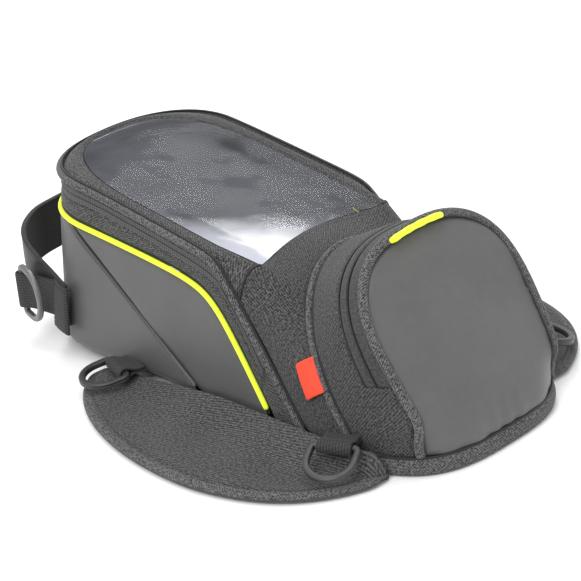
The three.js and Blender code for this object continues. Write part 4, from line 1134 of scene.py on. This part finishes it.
def make_label():
    place = np.linspace(0.118, 0.2, 12)
    v = np.linspace(0, 1, 10)
    root = WELT(place)
    along = unit(root[-1] - root[0])
    back = RED_REAR(0.16) - WELT(0.16)
    back = unit(back - (back @ along) * along)
    grid = root[:, None] + back * (LABEL_LENGTH * (1 - v))[None, :, None]
    outward = np.cross(along, back) * (-1 if np.cross(along, back)[1] > 0 else 1)
    grid = grid + outward * (2.6 + 1.1 * np.sin(np.pi * v)[None, :, None])
    dressed(Cloth(grid).mesh("label_ribbon", [M["red"]], 1.0), "bag", "red_fabric", "label_tab")


# ---- base ----
def base_half(x):
    forward = np.maximum(0, (x - BASE_CENTRE_X) / BASE_DEPTH)
    return BASE_HALF * np.maximum(0, 1 - forward**BASE_POWER) ** (1 / BASE_POWER)


def make_rim():
    angle = np.linspace(-0.5 * np.pi, 0.5 * np.pi, 700)
    x = BASE_CENTRE_X + BASE_DEPTH * np.abs(np.cos(angle)) ** (2 / BASE_POWER)
    y = BASE_HALF * signed_power(np.sin(angle), 2 / BASE_POWER)
    track = Line(xyz(x, y, np.zeros(len(x))))(np.linspace(0.03, 0.97, 150))
    tangent = unit(np.gradient(track, axis=0))
    out = xyz(tangent[:, 1], -tangent[:, 0], np.zeros(len(track)))
    v = rows(14, 0.5)
    swell = 1.8 * np.sin(np.pi * v) ** 0.7
    grid = track[:, None] + out[:, None] * swell[None, :, None]
    grid[..., 2] = lerp(0.3, RIM_HEIGHT, v)[None, :]
    cloth = Cloth(grid)
    cloth.face(75, 7, (1, 0, 0))
    sewn(cloth, "rim_cloth", "binding", "bag", "binding_fabric", "base_rim", thickness=2.4)
    low = track - out * 0.6
    low[:, 2] = RIM_HEIGHT + 0.3
    seam("rim_seam", low, out, 0.9, 0.9, "bag", "binding_fabric")


# ---- flaps ----
def flap_root(x):
    return base_half(x) + FLAP_ROOT_GAP


def flap_top(x, v):
    root = lerp(9.0, 18.0, smooth(x, -60, 40))
    return FLAP_OUTER_Z + (root - FLAP_OUTER_Z) * np.maximum(0, 1 - v / 0.55) ** 2


def flap_edge(side, count):
    """The outer edge, from the rear root round to the front root."""
    angle = np.linspace(0.02, np.pi - 0.02, 500)
    length = np.where(np.cos(angle) > 0, FLAP_REAR, FLAP_FRONT)
    x = FLAP_PEAK_X - length * np.cos(angle)
    reach = FLAP_REACH * np.sin(angle) ** (2 / FLAP_POWER)
    line = Line(xyz(x, side * (flap_root(x) + reach), np.full(500, FLAP_OUTER_Z - FLAP_THICK / 2)))
    return line(np.linspace(0, 1, count))


def make_flap(side, label):
    nu, nv = 120, 26
    edge = flap_edge(side, nu)
    x = edge[:, 0]
    root_y = side * flap_root(x)
    v = rows(nv, 0.5)
    y = lerp(root_y[:, None], edge[:, 1][:, None], v[None, :])
    xs = np.repeat(x[:, None], nv, 1)
    narrow = smooth(np.abs(edge[:, 1] - root_y), 0, 26)[:, None]
    z_top = lerp(3.0, flap_top(xs, np.repeat(v[None, :], nu, 0)), narrow)
    waves = 1.3 * np.sin(xs / 21 + 1.5 * side) * np.sin(np.pi * v)[None, :] ** 1.5
    waves += 0.8 * np.sin(xs / 11 + y / 19) * np.sin(np.pi * v)[None, :] ** 2
    edge_fall = np.exp(-(((1 - v)[None, :] * np.abs(edge[:, 1] - root_y)[:, None]) / 3.2) ** 2)
    top = xyz(xs, y, z_top + waves - 2.0 * edge_fall)
    under_z = np.maximum(z_top - FLAP_THICK + 0.2, 0.6) + 1.6 * edge_fall
    cloth = Cloth(top)
    cloth.face(nu // 2, nv // 2, (0, 0, 1))
    piece = closed_pad("flap_cloth_" + label, cloth, xyz(xs, y, under_z), [M["flap"]])
    nodes = ["flap_pad_" + label, "flap_skin_" + label]
    dressed(piece, "flap_" + label, "woven_fabric", *nodes)
    taper = 1 - 0.75 * (1 - smooth(np.minimum(np.linspace(0, 1, 200), np.linspace(1, 0, 200)), 0, 0.05))
    up = np.tile([0, 0, 1.0], (200, 1))
    binding = cord_mesh(
        "flap_binding_cord_" + label, flap_edge(side, 200), up, 3.6 * taper, 2.7 * taper, [M["binding"]], 14,
        power=2.5,
    )
    dressed(binding, "flap_" + label, "binding_fabric", "flap_binding_" + label)
    path = cloth.path(4.6, "high")
    runs = [part_of(path, 0.04, 0.96)]
    stitches = stitch_mesh("flap_stitches_" + label, runs, M["thread"], 2.8, 2.0, 0.25)
    dressed(stitches, "flap_" + label, "woven_fabric")


def closed_pad(name, cloth, under, materials):
    """A pad of a top and an underside that meet along all four edges."""
    nu, nv = cloth.points.shape[:2]
    top_index = np.arange(nu * nv).reshape(nu, nv)
    under_index = top_index + nu * nv

    flip = cloth.turn < 0
    faces = quads(top_index, flip).tolist() + quads(under_index, not flip).tolist()
    sides = (top_index[:-1, 0], top_index[-1, :-1], top_index[:0:-1, -1], top_index[0, :0:-1])
    loop_top = np.concatenate(sides)
    loop_low = loop_top + nu * nv
    for i in range(len(loop_top)):
        j = (i + 1) % len(loop_top)
        quad = [loop_top[i], loop_low[i], loop_low[j], loop_top[j]]
        faces.append([int(k) for k in (quad if not flip else quad[::-1])])
    vertices = np.vstack([cloth.points.reshape(-1, 3), under.reshape(-1, 3)])
    u = cloth.lengths(0)[:, nv // 2]
    v = np.abs(cloth.points[..., 1])
    grid = np.stack([np.repeat(u[:, None], nv, 1), v, np.zeros((nu, nv))], axis=-1).reshape(-1, 3)
    piece = new_object(name, vertices, faces, np.vstack([grid, grid]), materials)
    return refine(piece)


# ---- rings, loops and webbing ----
def d_ring_path(width, depth, bar, count=110):
    """The centre line of a D ring: straight bar on y = 0, bow towards -y. It closes on itself."""
    half = (width - bar) / 2
    bow_y = -(depth - bar / 2) + half
    corner = 3.2
    points = [(-half + corner, 0), (half - corner, 0)]
    turn = np.linspace(np.pi / 2, 0, 8)[1:]
    points += [(half - corner + corner * np.cos(a), -corner + corner * np.sin(a)) for a in turn]
    arc = np.linspace(0, -np.pi, 40)
    points += [(half * np.cos(a), bow_y + half * np.sin(a)) for a in arc]
    turn = np.linspace(np.pi, np.pi / 2, 8)[:-1]
    points += [(-half + corner + corner * np.cos(a), -corner + corner * np.sin(a)) for a in turn]
    points.append(points[0])
    flat = np.array([(x, y, 0) for x, y in points], float)
    return Line(flat)(np.linspace(0, 1, count + 1)[:-1])


def ring_mesh(name, matrix, width, depth, bar, thickness, material, groove):
    """A moulded D ring: its section is a rounded oblong with a groove round its outer wall."""
    path = d_ring_path(width, depth, bar)
    tangent = unit(np.roll(path, -1, 0) - np.roll(path, 1, 0))
    outward = xyz(tangent[:, 1], -tangent[:, 0], np.zeros(len(path)))
    centre = path.mean(0)
    if ((path - centre) * outward).sum() < 0:
        outward = -outward
    angle = np.linspace(0, 2 * np.pi, 28, endpoint=False)
    across = signed_power(np.cos(angle), 2 / 3.2) * bar / 2
    up = signed_power(np.sin(angle), 2 / 3.2) * thickness / 2
    across = across - groove * np.exp(-((up / (thickness * 0.09)) ** 2)) * (np.cos(angle) > 0)
    ring = path[:, None] + outward[:, None] * across[None, :, None]
    ring = ring + np.array([0, 0, 1.0]) * up[None, :, None]
    n, m = ring.shape[:2]
    index = np.arange(n * m).reshape(n, m)
    a, b = index, np.roll(index, -1, 0)
    c, d = np.roll(b, -1, 1), np.roll(a, -1, 1)
    faces = np.stack([k.ravel() for k in (a, b, c, d)], axis=1)
    rotation = np.array(matrix.to_3x3())
    shift = np.array(matrix.translation)
    points = ring.reshape(-1, 3) @ rotation.T + shift
    normal_test = np.cross(ring[0, 1] - ring[0, 0], ring[1, 0] - ring[0, 0]) @ (ring[0, 0] - path[0])
    if normal_test > 0:
        faces = faces[:, ::-1]
    piece = new_object(name, points, faces, np.zeros((n * m, 3)), [material])
    return refine(piece)


def loop_mesh(name, matrix, length, width, inside, material):
    """Webbing folded round a ring's bar: a bight, then two plies that lie together."""
    ply = 1.5
    angle = np.linspace(0.62 * np.pi, 1.38 * np.pi, 18)
    radius = inside + ply / 2
    bight = [(radius * np.cos(a), radius * np.sin(a)) for a in angle]
    upper = [(length, 0.95), (length * 0.7, 0.95), (inside + 3.2, 1.2), (inside * 0.55, radius * 0.83)]
    lower = [(x, -y) for x, y in upper[::-1]]
    profile = np.array([(x, y, 0) for x, y in upper + bight + lower], float)
    line = Line(spline(profile, 90))(np.linspace(0, 1, 70))
    across = np.linspace(-width / 2, width / 2, 12)
    grid = np.zeros((70, 12, 3))
    grid[..., 0] = across[None, :]
    grid[..., 1] = line[:, 0][:, None]
    grid[..., 2] = line[:, 1][:, None]
    rotation = np.array(matrix.to_3x3())
    grid = grid @ rotation.T + np.array(matrix.translation)
    cloth = Cloth(grid).face(35, 6, grid[35, 6] - np.array(matrix.translation))
    piece = cloth.mesh(name, [material], ply)
    piece.modifiers["thickness"].offset = 0
    return piece


def flap_matrix(spec, side, tilt):
    turn = spec["turn"] if side < 0 else math.pi - spec["turn"]
    place = Matrix.Translation(Vector((spec["x"], side * spec["y"], spec["z"])))
    return place @ Matrix.Rotation(turn, 4, "Z") @ Matrix.Rotation(tilt, 4, "X")


def make_flap_hardware(side, label):
    for spec in FLAP_RINGS:
        tag = label + "_" + spec["label"]
        ring = ring_mesh("flap_ring_body_" + tag, flap_matrix(spec, side, spec["tilt"]),
                         RING_WIDTH, RING_DEPTH, 4.4, 4.2, M["black_plastic"], 0.7)
        dressed(ring, "flap_ring_" + tag, "black_plastic", "flap_ring_" + tag)
        loop = loop_mesh("flap_webbing_" + tag, flap_matrix(spec, side, 0), 13.5, 22.5, 3.1, M["webbing"])
        dressed(loop, "flap_" + label, "webbing", "flap_loop_" + tag)


# ---- handle ----
HANDLE_Z, HANDLE_MOUNT_Z, HANDLE_HEIGHT = 57.0, 35.0, 35.0
HANDLE_RING = {"x": -160, "y": 79, "z": 38, "scale": 1.1, "open": 0.3, "lean": 0.1}


def outside(x, z, distance, side):
    s = np.linspace(wall_s(TAIL_X), 0.5, 4000)
    line = wall(s, np.full(s.shape, float(z)))
    i = int(np.abs(line[:, 0] - x).argmin())
    tangent = unit(line[min(i + 1, 3999)] - line[max(i - 1, 0)])
    here = line[i] + distance * np.array([-tangent[1], tangent[0], 0])
    return np.array([here[0], -side * here[1], z])


def handle_points(side):
    return [
        outside(-119, HANDLE_MOUNT_Z, 4.2, side),
        outside(-127, HANDLE_MOUNT_Z, 4.4, side),
        (-139, side * 73.2, 38.5),
        (-153, side * 72.6, 45),
        (-167, side * 69, 51),
        (-178, side * 60, 55),
        (-188, side * 42, HANDLE_Z),
        (-192.5, side * 18, HANDLE_Z),
    ]


def make_handle():
    near, far = handle_points(-1), handle_points(1)
    line = Line(spline(near + [(-193.2, 0, HANDLE_Z)] + far[::-1], 300))
    u = np.linspace(0, 1, 150)
    v = rows(16, 0.6)
    middle = line(u)
    height = lerp(28, HANDLE_HEIGHT, smooth(np.minimum(u, 1 - u), 0, 0.14))
    grid = np.repeat(middle[:, None], 16, 1)
    grid[..., 2] += (v[None, :] - 0.5) * height[:, None]
    cloth = Cloth(grid).face(75, 8, (-1, 0, 0))
    cloth.push(-0.5 + 0.6 * np.sin(np.pi * v)[None, :] * np.ones((150, 1))).ripple(0.3, 40, 51)
    sewn(cloth, "handle_cloth", "strap", "handle", "coated_fabric", "handle_strap", thickness=2.6)
    for name, edge in (("handle_edge_low", "low"), ("handle_edge_high", "high")):
        points, out = cloth.path(0.2, edge)
        seam(name, points - out * 1.3, out, 1.1, 1.9, "handle", "coated_fabric", 8, 1)
    runs = [cloth.path(3.0, "low"), cloth.path(3.0, "high")]
    stitched("handle_stitches", runs, "handle", "coated_fabric", 2.8, 2.0, 0.22)
    for side, label in ((-1, "near"), (1, "far")):
        make_handle_side(side, label)


def make_handle_side(side, label):
    up = Vector((0, 0, 1))
    spec = HANDLE_RING
    to_patch = Vector((math.cos(spec["lean"]), -side * math.sin(spec["lean"]), 0))
    from_bow = Vector((-math.cos(spec["open"]), -side * math.sin(spec["open"]), 0))
    place = Matrix.Translation(Vector((spec["x"], side * spec["y"], spec["z"])))
    loop_turn = Matrix((up, to_patch, up.cross(to_patch))).transposed().to_4x4()
    ring_turn = Matrix((up, from_bow, up.cross(from_bow))).transposed().to_4x4()
    loop = loop_mesh("handle_webbing_" + label, place @ loop_turn, 32, 25, 3.1, M["webbing"])
    dressed(loop, "handle", "webbing", "handle_loop_" + label)
    width, depth = RING_WIDTH * spec["scale"], RING_DEPTH * spec["scale"]
    turned = place @ ring_turn
    ring = ring_mesh("handle_ring_body_" + label, turned, width, depth, 4.2, 4.0, M["ring_metal"], 0.0)
    dressed(ring, "handle_ring_" + label, "ring_metal", "handle_ring_" + label)
    grid = np.zeros((22, 26, 3))
    for i, x in enumerate(np.linspace(-130, -112, 22)):
        for j, z in enumerate(np.linspace(18, 51, 26)):
            grid[i, j] = outside(x, z, 8.4, side)
    cloth = Cloth(grid).face(10, 12, (0, side, 0))
    cloth.roll(0.9, 1.5, "lhse")
    patch = cloth.mesh("handle_patch_cloth_" + label, [M["webbing"]], 2.4)
    dressed(patch, "bag", "webbing", "handle_patch_" + label)
    sides = [cloth.path(2.2, "low"), cloth.path(2.2, "high")]
    turned = Cloth(cloth.points.transpose(1, 0, 2))
    sides += [turned.path(2.2, "low"), turned.path(2.2, "high")]
    stitched("patch_stitches_" + label, sides, "bag", "webbing", 2.4, 1.8, 0.25)


# ---- sliders, magnets and inner pieces: CAD nodes with a finish and softened edges ----
def carry(node, material, bevel=0.25):
    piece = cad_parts[node]
    piece.data.materials.clear()
    piece.data.materials.append(material)
    if bevel:
        edge = piece.modifiers.new("edges", "BEVEL")
        edge.width = bevel * MM
        edge.segments = 2
        edge.limit_method = "ANGLE"


def carry_inside():
    for node in ("main_slider", "pocket_slider"):
        carry(node, M["slider_metal"])
    for node in ("main_slider_pull", "pocket_slider_pull"):
        carry(node, M["neon_pull"])
    carry("base_panel", M["lining"], 0)
    carry("base_board", M["board"])
    carry("pocket_divider", M["lining"], 0)
    carry("window_pouch", M["lining"], 0)
    for label in ("near", "far"):
        for number in (1, 2):
            carry("flap_magnet_%s_%d" % (label, number), M["magnet"])


make_camera()
make_stage()
make_lower_walls()
make_neon_piping()
make_bands()
make_lid_piping()
WINDOW_EDGE, CUT = make_lid_top()
make_film(WINDOW_EDGE)
RED_REAR = rear_of_front(CUT)
make_front(CUT)
make_welt()
make_gusset()
make_door()
make_door_piping()
make_pull_loop()
make_label()
make_rim()
for flap_side, flap_label in ((-1, "near"), (1, "far")):
    make_flap(flap_side, flap_label)
    make_flap_hardware(flap_side, flap_label)
make_handle()
carry_inside()
